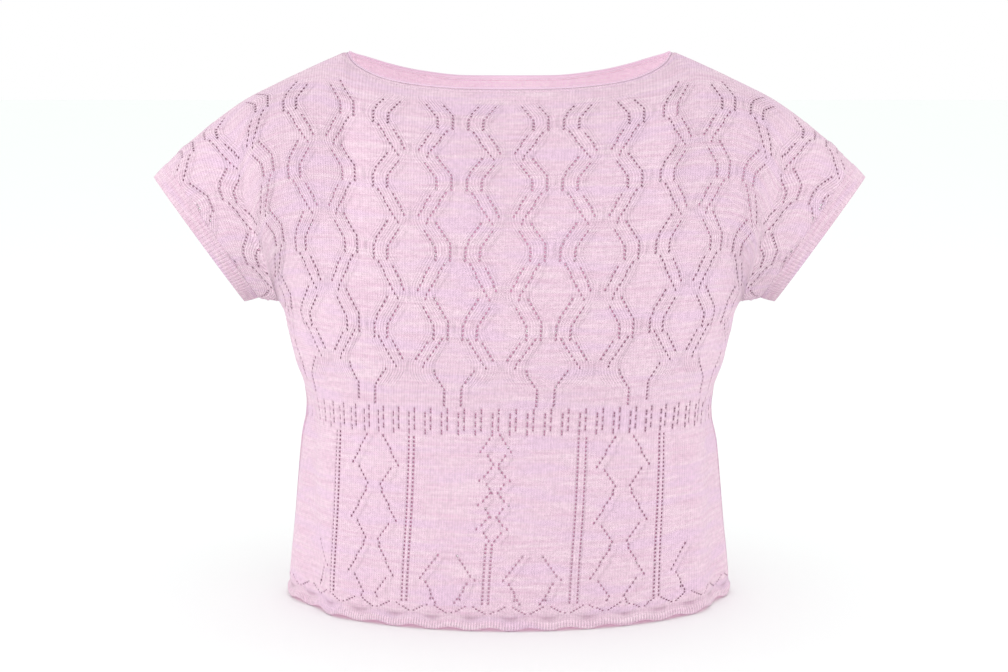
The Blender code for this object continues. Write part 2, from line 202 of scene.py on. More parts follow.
def ring_points(wale, z, panel):
    """Points of the body's ring at height z, for wales 0 to the side seam, as x, distance from y = 0, z."""
    turn, run = ring_run(z, panel)
    at = np.interp(np.asarray(wale) / SIDE_WALE * run[-1], run, turn)
    width, depth = along(BODY, "half_width", z), along(BODY, f"{panel}_depth", z)
    return np.stack([width * np.sin(at), depth * np.cos(at), np.full(at.shape, float(z))], -1)


def edge_points(wale, panel):
    """Points of the neck edge and the shoulder seam, for wales 0 to the cuff."""
    neck = wale < NECK_WALE
    x = np.where(neck, along(NECKLINE, "x", wale), along(SHOULDER, "x", wale))
    y = np.where(neck, along(NECKLINE, f"{panel}_y", wale), 0.0)
    z = np.where(neck, along(NECKLINE, f"{panel}_z", wale), along(SHOULDER, "z", wale))
    return np.stack([x, y, z], -1)


def yoke_point(wale, share, panel):
    """The wale's point at a share 0 to 1 of the way from the edge above to the underarm ring."""
    top = edge_points(wale, panel)
    on_ring = ring_points(np.minimum(wale, SIDE_WALE), UNDERARM, panel)
    under = np.stack(
        [along(SLEEVE_UNDER, "x", wale), np.zeros_like(wale), along(SLEEVE_UNDER, "z", wale)], -1
    )
    low = np.where((wale < SIDE_WALE)[:, None], on_ring, under)
    fall = np.radians(along(WALE_RUN, "fall", wale))
    turn = np.radians(along(WALE_RUN, "turn", wale))
    level = np.zeros_like(wale)
    leave = np.stack([level, np.cos(fall), -np.sin(fall)], -1)
    meet = np.stack([level, np.sin(turn), np.cos(turn)], -1)
    inwards = -CUFF_PLANE * along(WALE_RUN, "inset", wale)[:, None]
    a = top + leave * along(WALE_RUN, "edge_reach", wale)[:, None] + inwards
    b = low + meet * along(WALE_RUN, "ring_reach", wale)[:, None] + inwards
    s = np.asarray(share, float).reshape(-1, 1)
    return (1 - s) ** 3 * top + 3 * s * (1 - s) ** 2 * a + 3 * s**2 * (1 - s) * b + s**3 * low


def hem_height(wale):
    lift = HEM_SIDE_LIFT * (wale / SIDE_WALE) ** 2
    return HEM + lift - SCALLOP_DROP * np.cos(2 * math.pi * wale * SCALLOPS / (2 * SIDE_WALE))


def unit(v):
    return v / np.maximum(np.linalg.norm(v, axis=-1, keepdims=True), np.finfo(float).tiny)


def cuff_plane():
    """The direction out of the left cap sleeve's end, square to the line from its top to its underside."""
    run = SHOULDER["x"][-1] - SLEEVE_UNDER["x"][-1]
    rise = SHOULDER["z"][-1] - SLEEVE_UNDER["z"][-1]
    return unit(np.array([rise, 0.0, -run]))


CUFF_PLANE = cuff_plane()


def rises():
    yoke = 1 - np.arange(YOKE_STEPS + 1) / YOKE_STEPS
    return np.concatenate([yoke, -np.arange(1, BODY_STEPS + 1) / BODY_STEPS])


def base_form(panel):
    """The panel's plain outer points: rows from the top edge down, a column to each wale from -X to +X."""
    points = np.full((YOKE_STEPS + BODY_STEPS + 1, len(FORM_WALES), 3), np.nan)
    wale = np.abs(FORM_WALES).astype(float)
    for step in range(YOKE_STEPS + 1):
        points[step] = yoke_point(wale, np.full(wale.shape, step / YOKE_STEPS), panel)
    body = wale[IN_BODY]
    for step in range(1, BODY_STEPS + 1):
        row = ring_points(body, UNDERARM + (HEM - UNDERARM) * step / BODY_STEPS, panel)
        scallop = smooth_step((step - BODY_STEPS + HEM_STEPS) / HEM_STEPS)
        row[:, 2] += (hem_height(body) - HEM) * scallop
        points[YOKE_STEPS + step, IN_BODY] = row
    points[..., 0] *= np.where(FORM_WALES < 0, -1, 1)
    points[..., 1] = (-1 if panel == "front" else 1) * (points[..., 1] + SEAM_GAP / 2)
    return points


def block_normals(points, side):
    return unit(np.cross(np.gradient(points, axis=0), np.gradient(points, axis=1)) * -side)


def form_normals(points, panel):
    """Outward normals, held square to the seams so that each seam's two edges stay parallel."""
    side = -1 if panel == "front" else 1
    normals = np.full(points.shape, np.nan)
    normals[: YOKE_STEPS + 1] = block_normals(points[: YOKE_STEPS + 1], side)
    body = block_normals(points[YOKE_STEPS:, IN_BODY], side)
    normals[YOKE_STEPS, IN_BODY] = unit(normals[YOKE_STEPS, IN_BODY] + body[0])
    normals[YOKE_STEPS + 1 :, IN_BODY] = body[1:]
    normals[YOKE_STEPS:, np.abs(FORM_WALES) == SIDE_WALE, 1] = 0
    normals[YOKE_STEPS, np.abs(FORM_WALES) >= SIDE_WALE, 1] = 0
    normals[0, np.abs(FORM_WALES) >= NECK_WALE, 1] = 0
    for column, mirror in ((-1, 1), (0, -1)):
        plane = CUFF_PLANE * [mirror, 1, 1]
        edge = normals[: YOKE_STEPS + 1, column]
        normals[: YOKE_STEPS + 1, column] = edge - (edge @ plane)[:, None] * plane
    return unit(normals)


def fold_height(panel):
    """How far the folds move each point of the panel outwards."""
    wale, rise = np.meshgrid(FORM_WALES, rises())
    across, up = wale * WALE_WIDTH, rise * RISE_LENGTH
    total = np.zeros(wale.shape)
    for row in FOLDS:
        fold = dict(zip(FOLD_NAMES, row))
        if fold["panel"] not in (panel, "both"):
            continue
        a = np.array([fold["wale_a"] * WALE_WIDTH, fold["rise_a"] * RISE_LENGTH])
        b = np.array([fold["wale_b"] * WALE_WIDTH, fold["rise_b"] * RISE_LENGTH])
        run = b - a
        share = np.clip(((across - a[0]) * run[0] + (up - a[1]) * run[1]) / (run @ run), 0, 1)
        away = np.hypot(across - a[0] - share * run[0], up - a[1] - share * run[1])
        total += fold["height"] * np.exp(-((away / (fold["width"] * WALE_WIDTH / FOLD_SHARPNESS)) ** 2))
    top = np.clip((1 - rise) / FOLD_EDGE, 0, 1)
    cuff = np.clip((CUFF_WALE - np.abs(wale)) / (CUFF_WALE - SIDE_WALE), 0, 1)
    near_sleeve = np.clip((np.abs(wale) - FOLD_SLEEVE_WALE) / (SIDE_WALE - FOLD_SLEEVE_WALE), 0, 1)
    under_sleeve = 1 - near_sleeve * (1 - np.clip(rise / FOLD_SLEEVE_RISE, 0, 1))
    return total * np.where(rise < 0, 1.0, top * np.minimum(1.0, FOLD_CUFF_FADE * cuff) * under_sleeve)


def form(panel):
    """The panel's outer points and normals on the fine grid, with the body's edge repeated outwards."""
    points = base_form(panel)
    normals = form_normals(points, panel)
    points = points + normals * fold_height(panel)[..., None]
    for grid in (points, normals):
        for column in range(len(FORM_WALES)):
            inside = int(np.clip(FORM_WALES[column], -SIDE_WALE, SIDE_WALE)) + LAST_WALE
            if inside != column:
                grid[YOKE_STEPS + 1 :, column] = grid[YOKE_STEPS + 1 :, inside]
    return points, normals


def read_grid(grid, wale, step):
    """The grid's value between its points, at a wale and a step down from the top edge."""
    column = np.clip(wale + LAST_WALE, 0, grid.shape[1] - 1)
    step = np.clip(step, 0, grid.shape[0] - 1)
    i = np.minimum(column.astype(int), grid.shape[1] - 2)
    j = np.minimum(step.astype(int), grid.shape[0] - 2)
    u, v = (column - i)[..., None], (step - j)[..., None]
    return (
        grid[j, i] * (1 - u) * (1 - v)
        + grid[j, i + 1] * u * (1 - v)
        + grid[j + 1, i] * (1 - u) * v
        + grid[j + 1, i + 1] * u * v
    )


# ---------------------------------------------------------------- the knitting's own grid

MOTIF = 18  # cells in one repeat of the yoke's lace, of two courses each
UNDERARM_CELL = 4
HEM_CELL = -72
TOP_CELL = 96
# Length of cloth from the underarm up to the top of each repeat: the cloth is stretched less higher up
CELL_RUN = {
    "cell": (HEM_CELL, -24, -17, 0, UNDERARM_CELL, MOTIF, 2 * MOTIF, 3 * MOTIF, TOP_CELL),
    "run": (-272.5, -102.2, -74.8, -15.2, 0, 53.3, 113.4, 166.7, 291.0),
}
SHOULDER_STRETCH = 0.085  # cells are this much taller towards the shoulders, at the third repeat's height
STRETCH_WALE = 65.0
LEAN = {  # the wales lean towards -X further down, by this many wales at the centre
    "cell": (HEM_CELL, -55, -43, -31, -17, -3, 9, 26, 48, 70),
    "wales": (-8.7, -7.3, -6.0, -5.1, -4.4, -3.2, -2.3, -1.3, -0.7, 0.0),
}
SAG = {"cell": (HEM_CELL, -45, -23, -16, UNDERARM_CELL), "run": (0, 3, 8.5, 8.5, 0)}  # mm at the side seams
FREE_WALE = 50.0  # outside these wales the stitches close up where the body is narrower than its cut
CUFF_WALE_LOW = 111.0  # last wale of the cap sleeve under the arm
HEM_ROLL_CELLS = (-71.67, -71.33, -70.5)
CHEVRON_CELLS = (-68.5, -67.5, -66.5)  # single courses, so that the hem's eyelets can lie closer together
LEAST_CELL = 0.3  # a cell cut shorter than this by the top edge joins the one below
CELLS = np.array(sorted([*range(HEM_CELL, TOP_CELL + 1), *HEM_ROLL_CELLS, *CHEVRON_CELLS]))
WALES = FORM_WALES


def cell_run(cell, wale):
    run = along(CELL_RUN, "run", cell)
    high = np.clip(cell / (3 * MOTIF), 0, None) ** 2 * (cell > 0)
    return run * (1 + SHOULDER_STRETCH * high * np.clip(np.abs(wale) / STRETCH_WALE, 0, 1) ** 2)


def lean(cell, wale):
    return along(LEAN, "wales", cell) * np.clip(1 - (wale / SIDE_WALE) ** 2, 0, 1)


def form_wale(wale, z, panel):
    """The form's even wale at which a knitted wale lies at height z of the body."""
    run = ring_run(z, panel)[1][-1]
    closed = np.clip((np.abs(wale) - FREE_WALE) / (SIDE_WALE - FREE_WALE), 0, 1)
    arc = WALE_WIDTH * np.abs(wale) - (SIDE_WALE * WALE_WIDTH - run) * closed**2
    return np.sign(wale) * arc / run * SIDE_WALE


def yoke_column(wale, panel):
    """Form wales, steps and length of cloth up one knitted wale, from the underarm to the top edge."""
    share = np.linspace(1, 0, CURVE_POINTS // 2)
    size, sign = abs(wale), math.copysign(1, wale)
    shift = np.zeros(share.shape)
    for _ in range(2):
        knitted = size + sign * shift
        if size <= SIDE_WALE:
            at_ring = sign * form_wale(sign * knitted, UNDERARM, panel)
            at = knitted + (at_ring - knitted) * share**2
        else:
            last = CUFF_WALE + (CUFF_WALE_LOW - CUFF_WALE) * share
            reach = (CUFF_WALE - SIDE_WALE) / (last - SIDE_WALE)
            at = np.minimum(SIDE_WALE + (size - SIDE_WALE) * reach, CUFF_WALE)
        points = yoke_point(np.abs(at), share, panel)
        run = np.concatenate([[0], np.cumsum(np.linalg.norm(np.diff(points, axis=0), axis=1))])
        cell = np.interp(run, cell_run(CELLS, size), CELLS)
        shift = lean(cell, size)
    return sign * at, share * YOKE_STEPS, run


def knit_grid(panel):
    """Where each corner of the knitting's cells lies on the form.

    Returns the form's wale and step for each (cell, wale), and an index grid that sends corners beyond the
    top edge or the cuff on to the last corner that is on the panel, or to -1 where there is no cloth.
    """
    rows, columns = len(CELLS), len(WALES)
    wale_at, step_at = np.zeros((rows, columns)), np.zeros((rows, columns))
    body = CELLS <= UNDERARM_CELL
    for row in np.flatnonzero(body):
        knitted = WALES + lean(CELLS[row], WALES)
        sag = along(SAG, "run", CELLS[row]) * (WALES / SIDE_WALE) ** 2
        drop = -along(CELL_RUN, "run", CELLS[row]) + sag
        step_at[row] = YOKE_STEPS + drop / (UNDERARM - HEM) * BODY_STEPS
        z = UNDERARM - drop.mean()
        wale_at[row] = form_wale(np.clip(knitted, -SIDE_WALE, SIDE_WALE), z, panel)
    target = np.arange(rows * columns).reshape(rows, columns)
    target[body] = np.where(np.abs(WALES) <= SIDE_WALE, target[body], -1)
    for column, wale in enumerate(WALES):
        at, step, run = yoke_column(float(wale), panel)
        cells = cell_run(CELLS, wale)
        height = np.diff(cells, append=cells[-1] + 1)
        first = int(np.argmax(CELLS == UNDERARM_CELL))
        top = int(np.argmax((cells > run[-1] - LEAST_CELL * height) & ~body))
        for row in range(first, top + 1):
            length = run[-1] if row == top else cells[row]
            step_at[row, column] = np.interp(length, run, step)
            wale_at[row, column] = np.interp(length, run, at)
            target[row, column] = row * columns + column
        target[top + 1 :, column] = target[top, column]
    for sign in (-1, 1):
        for row in np.flatnonzero(CELLS >= UNDERARM_CELL):
            last = None
            for wale in range(int(SIDE_WALE), LAST_WALE + 1):
                column = sign * wale + LAST_WALE
                if last is not None:
                    target[row, column] = last
                elif abs(wale_at[row, column]) > CUFF_WALE - LEAST_CELL:
                    wale_at[row, column] = sign * CUFF_WALE
                    last = target[row, column]
    return wale_at, step_at, target


# ---------------------------------------------------------------- the lace chart

AXIS_PITCH = 32.5  # wales from one column of the yoke's waves to the next
AXES = range(-4, 5)
# Cells by which the sleeves' waves stand higher, on an axis's side towards -X and towards +X
AXIS_RISE = {-4: (1, 1), -3: (4, 4), -2: (1, 1), 2: (1, 1), 3: (1, 4), 4: (3, 3)}
# Lines of eyelets to one side of an axis: wales from the axis and rows below the repeat's top, at both ends
WAVE_LINES = {
    "inner": (6.1, 1, 2.6, 6),
    "long": (11.6, 0, 5.0, 8),
    "opening": (4.8, 10, 8.2, 14),
    "outer": (8.6, 8, 13.0, 13),
}
WAVE_STACKS = ((8.5, 15, 17), (13.2, 14, 17))  # wales from the axis, first and last row
STACK_LEAN, STACK_LENGTH = -2.4, 1.1
# The lowest repeat runs out into the band
LAST_LINES = {"inner": (6.1, 0, 2.6, 4), "long": (11.6, -1, 5.0, 6), "outer": (9.0, 7, 13.0, 12)}
LAST_STACKS = ((13.0, 13, 16),)
# The raised ribbon between the lines: its middle in wales from the axis, down one repeat
RIBBON = {"row": (0, 3, 6, 8, 10, 12, 14, 16, 18), "middle": (9.2, 7.2, 5.4, 5.6, 7.0, 8.8, 10.4, 10.6, 9.2)}
RIBBON_REST = 7.8
RIBBON_WIDTH = 2.6
RIBBON_REACH = 6.5  # wales from its middle within which the stitches run along the ribbon
RIBBON_FADE = 2.5
RIBBON_LOW, RIBBON_LOW_FADE = -14, 5  # cell where the ribbons start above the band, and cells they fade in over
RIBBON_TOP, RIBBON_TOP_FADE = 66, 4  # and the same where they end near the neck
# The band: its first cell and its height in cells, and the pairs to either side and their pitch in wales
BAND_TOP, BAND_ROWS, BAND_PAIRS, BAND_PITCH = -17, 6, 17, 6
BAND_SLOTS = ((0.8, 0), (-1.2, 1))  # a pair's two columns: wales from its middle, and cells further down
SLOT_HALVES = ((2, 0.7), (1, 0.3))  # a slot goes through two cells: cells below its top, and the hole's middle
SLOT_LENGTH = 0.85
# The skirt's straight double lines: each one's middle and half width, and their first and last cell
LINES = ((-62.4, 0.85), (-30.5, 0.93), (30, 1.2), (59.5, 0.95))
LINE_TOP, LINE_END = -24, -66
LINE_LENGTH = 0.9
ZIGZAG_AXES, ZIGZAGS, ZIGZAG_ROWS = (-45, 45), 3, 14
ZIGZAG_LINES = ((3.4, 0, 9.6, 7), (6.9, 8, 2.9, 12))  # as in WAVE_LINES
ZIGZAG_WAIST = 3.2
CHAIN = ((0, 4), (8, 3), (14, 3), (20, 3))  # the centre chain's lozenges: first row, and rows to the widest
CHAIN_WALES = (1.1, 5.1, 3.0, 1.0)  # wales from the centre at the ends of a lozenge's line out and line back
CHAIN_STEM = 26  # rows down to the chain's straight stem
CHAIN_HALF, CHAIN_ASIDE = 1.05, -0.5  # the stem's half width, and its middle
LOZENGES = ((-76, (1,)), (-15, (-1, 1)), (15, (-1, 1)), (75, (-1,)))  # axis, and which sides are knitted
LOZENGE_TOP, LOZENGE_ROWS = -53, 12
LOZENGE_LINES = ((3.6, 0, 10.0, 6), (7.6, 7, 3.6, 12))
LOZENGE_WAIST = 5.2
# The hem's chevrons: wales from a lobe's middle at the top, more wales to each row, and all of it aside
CHEVRON_ROWS = (-66.5, -67, -67.5, -68, -68.5)
CHEVRON_START, CHEVRON_STEP, CHEVRON_ASIDE = 1.5, 1.1, -0.6
CHEVRON_LEAN, CHEVRON_LENGTH = 0.6, 0.65
RIM_CELL, GROOVE_CELL = -71.2, -69.3  # middles of the hem's rolled rim and of the groove above it
HEM_SPREAD = 0.9  # cells either way over which each of them fades
GROOVE_AT_NOTCH = 0.35  # share of the groove's depth that is left between two lobes
EDGE_WALES = 2  # no eyelet lies closer to a side seam or a cuff
EYELET_PLAY = 0.3  # how far an eyelet's middle may stand off the middle of its cell, in wales
ECHO = 2.6  # wales from a line that runs down towards -X to the stitches taken in beside it
ECHO_DEPTH = 0.55  # mm


class Lace:
    """The eyelets of one panel: a lean and a length for each pierced cell, and the relief round them."""

    def __init__(self):
        self.holes = {}
        self.relief = np.zeros((len(CELLS), len(WALES)))

    def pierce(self, wale, cell, lean=0.0, length=1.0, middle=0.5):
        """An eyelet in the cell that holds this wale; lean is in wales to a row, upwards."""
        column = math.floor(wale)
        if abs(column) > LAST_WALE - EDGE_WALES:
            return
        row = int(np.searchsorted(CELLS, cell))
        offset = float(np.clip(wale - column - 0.5, -EYELET_PLAY, EYELET_PLAY))
        self.holes[row, column + LAST_WALE] = (offset, lean, length, middle)

    def line(self, axis, side, ends, top, first=0, **shape):
        """A slanting line of eyelets; ends gives wales from the axis and rows below top, at both ends."""
        near, row_a, far, row_b = ends
        step = (far - near) / (row_b - row_a)
        for row in range(max(row_a, first), row_b + 1):
            wale = axis + side * (near + step * (row - row_a))
            self.pierce(wale, top - 1 - row, lean=-side * step, **shape)
            if side * step < 0:
                self.crease(wale + ECHO, top - 1 - row)

    def crease(self, wale, cell):
        """A sunk point where stitches are taken in beside a line of eyelets, which the material also darkens with
        painted shade.
        """
        row = int(np.searchsorted(CELLS, cell))
        column = round(wale) + LAST_WALE
        if 0 < column < len(WALES) - 1:
            self.relief[row, column] = -ECHO_DEPTH


def wave_rise(axis, right):
    """Cells by which the waves stand higher to the left or right of an axis."""
    return AXIS_RISE.get(int(axis), (0, 0))[int(right)]


def yoke_lace(lace):
    """Wave columns from the neck down to the band."""
    for axis, side, repeat in itertools.product(AXES, (-1, 1), range(5)):
        lines, stacks = (WAVE_LINES, WAVE_STACKS) if repeat else (LAST_LINES, LAST_STACKS)
        first = -1
        if repeat == 4:  # the topmost waves start part way down
            first = 10 if abs(axis) < 2 else 8
            lines = {name: lines[name] for name in ("opening", "outer")}
        middle, top = round(AXIS_PITCH * axis), repeat * MOTIF + wave_rise(axis, side > 0)
        for ends in lines.values():
            lace.line(middle, side, ends, top, first)
        for wales, row_a, row_b in stacks:
            for row in range(row_a, row_b + 1):
                lace.pierce(middle + side * wales, top - 1 - row, lean=side * STACK_LEAN, length=STACK_LENGTH)


def band_lace(lace):
    """The row of tall eyelet pairs under the bust."""
    for pair, (aside, row) in itertools.product(range(-BAND_PAIRS, BAND_PAIRS + 1), BAND_SLOTS):
        for low, (below, middle) in itertools.product(range(row, row + BAND_ROWS, 2), SLOT_HALVES):
            wale, cell = pair * BAND_PITCH + aside, BAND_TOP - below - low
            lace.pierce(wale, cell, length=SLOT_LENGTH, middle=middle)


def skirt_lace(lace):
    """Below the band: straight double lines, zigzags, a centre chain and a row of lozenges."""
    for (wale, half), cell, side in itertools.product(LINES, range(LINE_END, LINE_TOP), (-1, 1)):
        lace.pierce(wale + side * half, cell, length=LINE_LENGTH)
    for axis, side, repeat in itertools.product(ZIGZAG_AXES, (-1, 1), range(ZIGZAGS)):
        top = LINE_TOP - ZIGZAG_ROWS * repeat
        for ends in ZIGZAG_LINES:
            lace.line(axis, side, ends, top)
        lace.pierce(axis + side * ZIGZAG_WAIST, top - ZIGZAG_ROWS, lean=side * STACK_LEAN)
    out_near, out_far, back_far, back_near = CHAIN_WALES
    for side in (-1, 1):
        for row, wide in CHAIN:
            top = LINE_TOP + 1 - row
            lace.line(0, side, (out_near, 0, out_far, wide), top)
            lace.line(0, side, (back_far, wide + 1, back_near, wide + 3), top)
        for cell in range(LINE_END, LINE_TOP - CHAIN_STEM):
            lace.pierce(side * CHAIN_HALF + CHAIN_ASIDE, cell, length=LINE_LENGTH)
    for axis, sides in LOZENGES:
        for side in sides:
            for ends in LOZENGE_LINES:
                lace.line(axis, side, ends, LOZENGE_TOP)
            lace.pierce(axis + side * LOZENGE_WAIST, LOZENGE_TOP - LOZENGE_ROWS, lean=side * STACK_LEAN)


def hem_lace(lace, wale_at):
    """Chevrons that follow the hem's scallops."""
    pitch = 2 * SIDE_WALE / SCALLOPS
    last = (SCALLOPS + 1) // 2
    for row, cell in enumerate(CHEVRON_ROWS):
        at = wale_at[int(np.searchsorted(CELLS, cell))]
        for lobe, side in itertools.product(range(-last, last + 1), (-1, 1)):
            wanted = lobe * pitch + side * (CHEVRON_START + CHEVRON_STEP * row) + CHEVRON_ASIDE
            if abs(wanted) < SIDE_WALE - EDGE_WALES:
                wale = float(np.interp(wanted, at[IN_BODY], WALES[IN_BODY]))
                lace.pierce(wale, cell, lean=-side * CHEVRON_LEAN, length=CHEVRON_LENGTH)


def chart(wale_at):
    """A panel's whole lace."""
    lace = Lace()
    yoke_lace(lace)
    band_lace(lace)
    skirt_lace(lace)
    hem_lace(lace, wale_at)
    return lace


def hem_form(cell, wale_at):
    """The hem's rolled rim and the groove above it: the height of each, 0 to 1."""
    rim = np.exp(-(((cell - RIM_CELL) / HEM_SPREAD) ** 4))
    groove = np.exp(-(((cell - GROOVE_CELL) / HEM_SPREAD) ** 2))
    lobe = 0.5 + 0.5 * np.cos(2 * math.pi * wale_at * SCALLOPS / (2 * SIDE_WALE))
    return rim, groove * (GROOVE_AT_NOTCH + (1 - GROOVE_AT_NOTCH) * lobe)


def ribbon_at(cell, wale):
    """The wave ribbon at each corner of the grid: its height 0 to 1, how far it stands aside, and its reach."""
    axis = np.round(wale / AXIS_PITCH)
    from_axis = wale - axis * AXIS_PITCH
    rise = np.vectorize(wave_rise)(axis, from_axis > 0)
    middle = along(RIBBON, "middle", (rise - cell) % MOTIF)
    away = np.abs(np.abs(from_axis) - middle)
    height = np.exp(-((away / RIBBON_WIDTH) ** 2))
    reach = np.clip((RIBBON_REACH - away) / RIBBON_FADE, 0, 1)
    live = smooth_step((cell - RIBBON_LOW) / RIBBON_LOW_FADE)
    live *= smooth_step((RIBBON_TOP - cell) / RIBBON_TOP_FADE)
    return height * live, np.sign(from_axis) * (middle - RIBBON_REST), reach * live


# ---------------------------------------------------------------- meshes


def srgb(code):
    """A colour's sRGB hex code as linear red, green, blue and alpha."""
    values = [int(code[i : i + 2], 16) / 255 for i in (1, 3, 5)]
    return (*[v / 12.92 if v <= 0.04045 else ((v + 0.055) / 1.055) ** 2.4 for v in values], 1.0)


def new_object(name, vertices, faces, materials, face_material=None, attributes=None, sharp=60):
    """A mesh object from points in millimetres, closed faces turned outwards, riding on the body."""
    mesh = bpy.data.meshes.new(name)
    mesh.from_pydata((np.asarray(vertices) * MM).tolist(), [], faces)
    for material in materials:
        mesh.materials.append(material)
    if face_material is not None:
        mesh.polygons.foreach_set("material_index", face_material)
    for key, values in (attributes or {}).items():
        attribute = mesh.attributes.new(key, "FLOAT_VECTOR", "POINT")
        attribute.data.foreach_set("vector", np.asarray(values, np.float32).ravel())
    shape = bmesh.new()
    shape.from_mesh(mesh)
    bmesh.ops.recalc_face_normals(shape, faces=shape.faces[:])
    shape.to_mesh(mesh)
    shape.free()
    mesh.shade_smooth()
    mesh.set_sharp_from_angle(angle=math.radians(sharp))
    obj = bpy.data.objects.new(name, mesh)
    bpy.context.scene.collection.objects.link(obj)
    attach(obj, "root")
    return obj


OUTSIDE, INSIDE = 0, 1  # the two materials of a wall
HIGH_RELIEF = 1.2  # mm: relief at which the raised stitches are painted palest; sunk relief is painted in shade
RIM_SHADE = -1.0  # the same measure at an eyelet's rim, which lies in its own shade
INNER_RELIEF = 0.5  # share of the relief that is also felt on the wrong side
GROOVE_DEPTH = 0.92  # of the hem's groove, as a share of the height of its roll
RIDGE_SINK, RIDGE_SIDE = 0.25, 0.5  # shares of the ridge by which an eyelet sinks its cell and lifts the next
NECK_GLOW_DEPTH = (8, 16)  # steps below the top edge: down to the first, the wrong side's painted glow is full, and past the second there is none
EYELET_LEAN = 0.55  # share of its line's slant that an eyelet takes on
# An eyelet's corners, from the lowest round, as shares of half its width and height
EYELET_SHAPE = ((0, -1), (1, -0.45), (1, 0.45), (0, 1), (-1, 0.45), (-1, -0.45))
LEAST_BESIDE, LEAST_ABOVE = 0.06, 0.04  # shares of a cell that stay cloth beside an eyelet and above it
# The way round four cells, in rows and columns from their lower left corner
FOUR_CELLS = ((0, 0), (0, 1), (0, 2), (1, 2), (2, 2), (2, 1), (2, 0), (1, 0))


def hole_outline(offset, lean, length, middle, height, sizes):
    """The eyelet's corners in its cell's own coordinates, 0 to 1 across and up."""
    half_width = sizes.eyelet_width / MM / WALE_WIDTH / 2
    half_height = min(min(middle, 1 - middle) - LEAST_ABOVE, sizes.eyelet_length / MM / height / 2 * length)
    corners = []
    for across, up in EYELET_SHAPE:
        v = middle + up * half_height
        u = 0.5 + offset + across * half_width + lean * (v - 0.5) * EYELET_LEAN
        corners.append((min(max(u, LEAST_BESIDE), 1 - LEAST_BESIDE), v))
    return corners


def cell_ring(corner, hole):
    """Faces between a cell's corners (lower left first, then round) and its eyelet's six corners."""
    bl, br, tr, tl = corner
    bottom, right_low, right_high, top, left_high, left_low = hole
    return [
        (bl, br, bottom), (br, right_low, bottom), (br, tr, right_high, right_low), (tr, top, right_high),
        (tr, tl, top), (tl, left_high, top), (tl, bl, left_low, left_high), (bl, bottom, left_low),
    ]


def panel_layers(panel, lace, wale_at, step_at, sizes):
    """Outer points, inner points, normals and the two attributes, at each corner of the knitting's grid."""
    points, normals = form(panel)
    cell, wale = np.meshgrid(CELLS, WALES, indexing="ij")
    raised, aside, reach = ribbon_at(cell, wale)
    rim, groove = hem_form(cell, wale_at)
    hem = rim - GROOVE_DEPTH * groove
    relief = lace.relief + raised * sizes.ribbon_height / MM + hem * sizes.hem_roll / MM
    for row, column in lace.holes:
        relief[row : row + 2, column : column + 2] -= RIDGE_SINK * sizes.ridge_height / MM
        for beside in (column - 1, column + 2):
            relief[row : row + 2, beside] += RIDGE_SIDE * sizes.ridge_height / MM
    place = read_grid(points, wale_at, step_at)
    out = unit(read_grid(normals, wale_at, step_at))
    neck_glow_share = smooth_step((NECK_GLOW_DEPTH[1] - step_at) / (NECK_GLOW_DEPTH[1] - NECK_GLOW_DEPTH[0]))
    layers = (
        place + out * relief[..., None],
        place + out * (relief[..., None] * INNER_RELIEF - WALL),
        out,
        # the third value sets the painted light on raised stitches and the painted shade in sunk ones
        np.stack([wale, 2 * cell, relief / HIGH_RELIEF], -1),
        # the hem's rim, less the share of the painted glow near the neck
        np.stack([aside, reach, rim - neck_glow_share], -1),
    )
    return [layer.reshape(-1, 3) for layer in layers]


def cell_corners(target, row, column):
    """A cell's corners, lower left first, each once; none where the cloth has no area."""
    ids = (target[row, column], target[row, column + 1], target[row + 1, column + 1], target[row + 1, column])
    kept = tuple(dict.fromkeys(v for k, v in enumerate(ids) if v != ids[k - 1]))
    return kept if min(ids) >= 0 and len(kept) >= 3 else ()


def deep_holes(lace, whole):
    """The eyelets whose own cells and the cells round them are whole, so that none meets the panel's edge."""
    return {
        (row, column): hole
        for (row, column), hole in lace.holes.items()
        if whole[max(row - 1, 0) : row + 2, max(column - 1, 0) : column + 2].all()
    }


def plain_inner_faces(groups, whole, needed, target):
    """The wrong side's faces away from the eyelets, where each four whole cells make one face.

    A point midway along such a face's side is kept only where another face needs it.
    """
    joined = {
        (r, c)
        for (r, c), cells in groups.items()
        if len(cells) == 4 and whole[2 * r : 2 * r + 2, 2 * c : 2 * c + 2].all()
    }
    for key in groups.keys() - joined:
        for row, column, _ in groups[key]:
            needed[row : row + 2, column : column + 2] = True
    faces = []
    for (r, c), cells in groups.items():
        if (r, c) in joined:
            walk = [(2 * r + i, 2 * c + j) for i, j in FOUR_CELLS]
            faces.append(tuple(
                target[place] for place, (i, j) in zip(walk, FOUR_CELLS) if 1 not in (i, j) or needed[place]
            ))
        else:
            faces += [corner for _, _, corner in cells]
    return faces


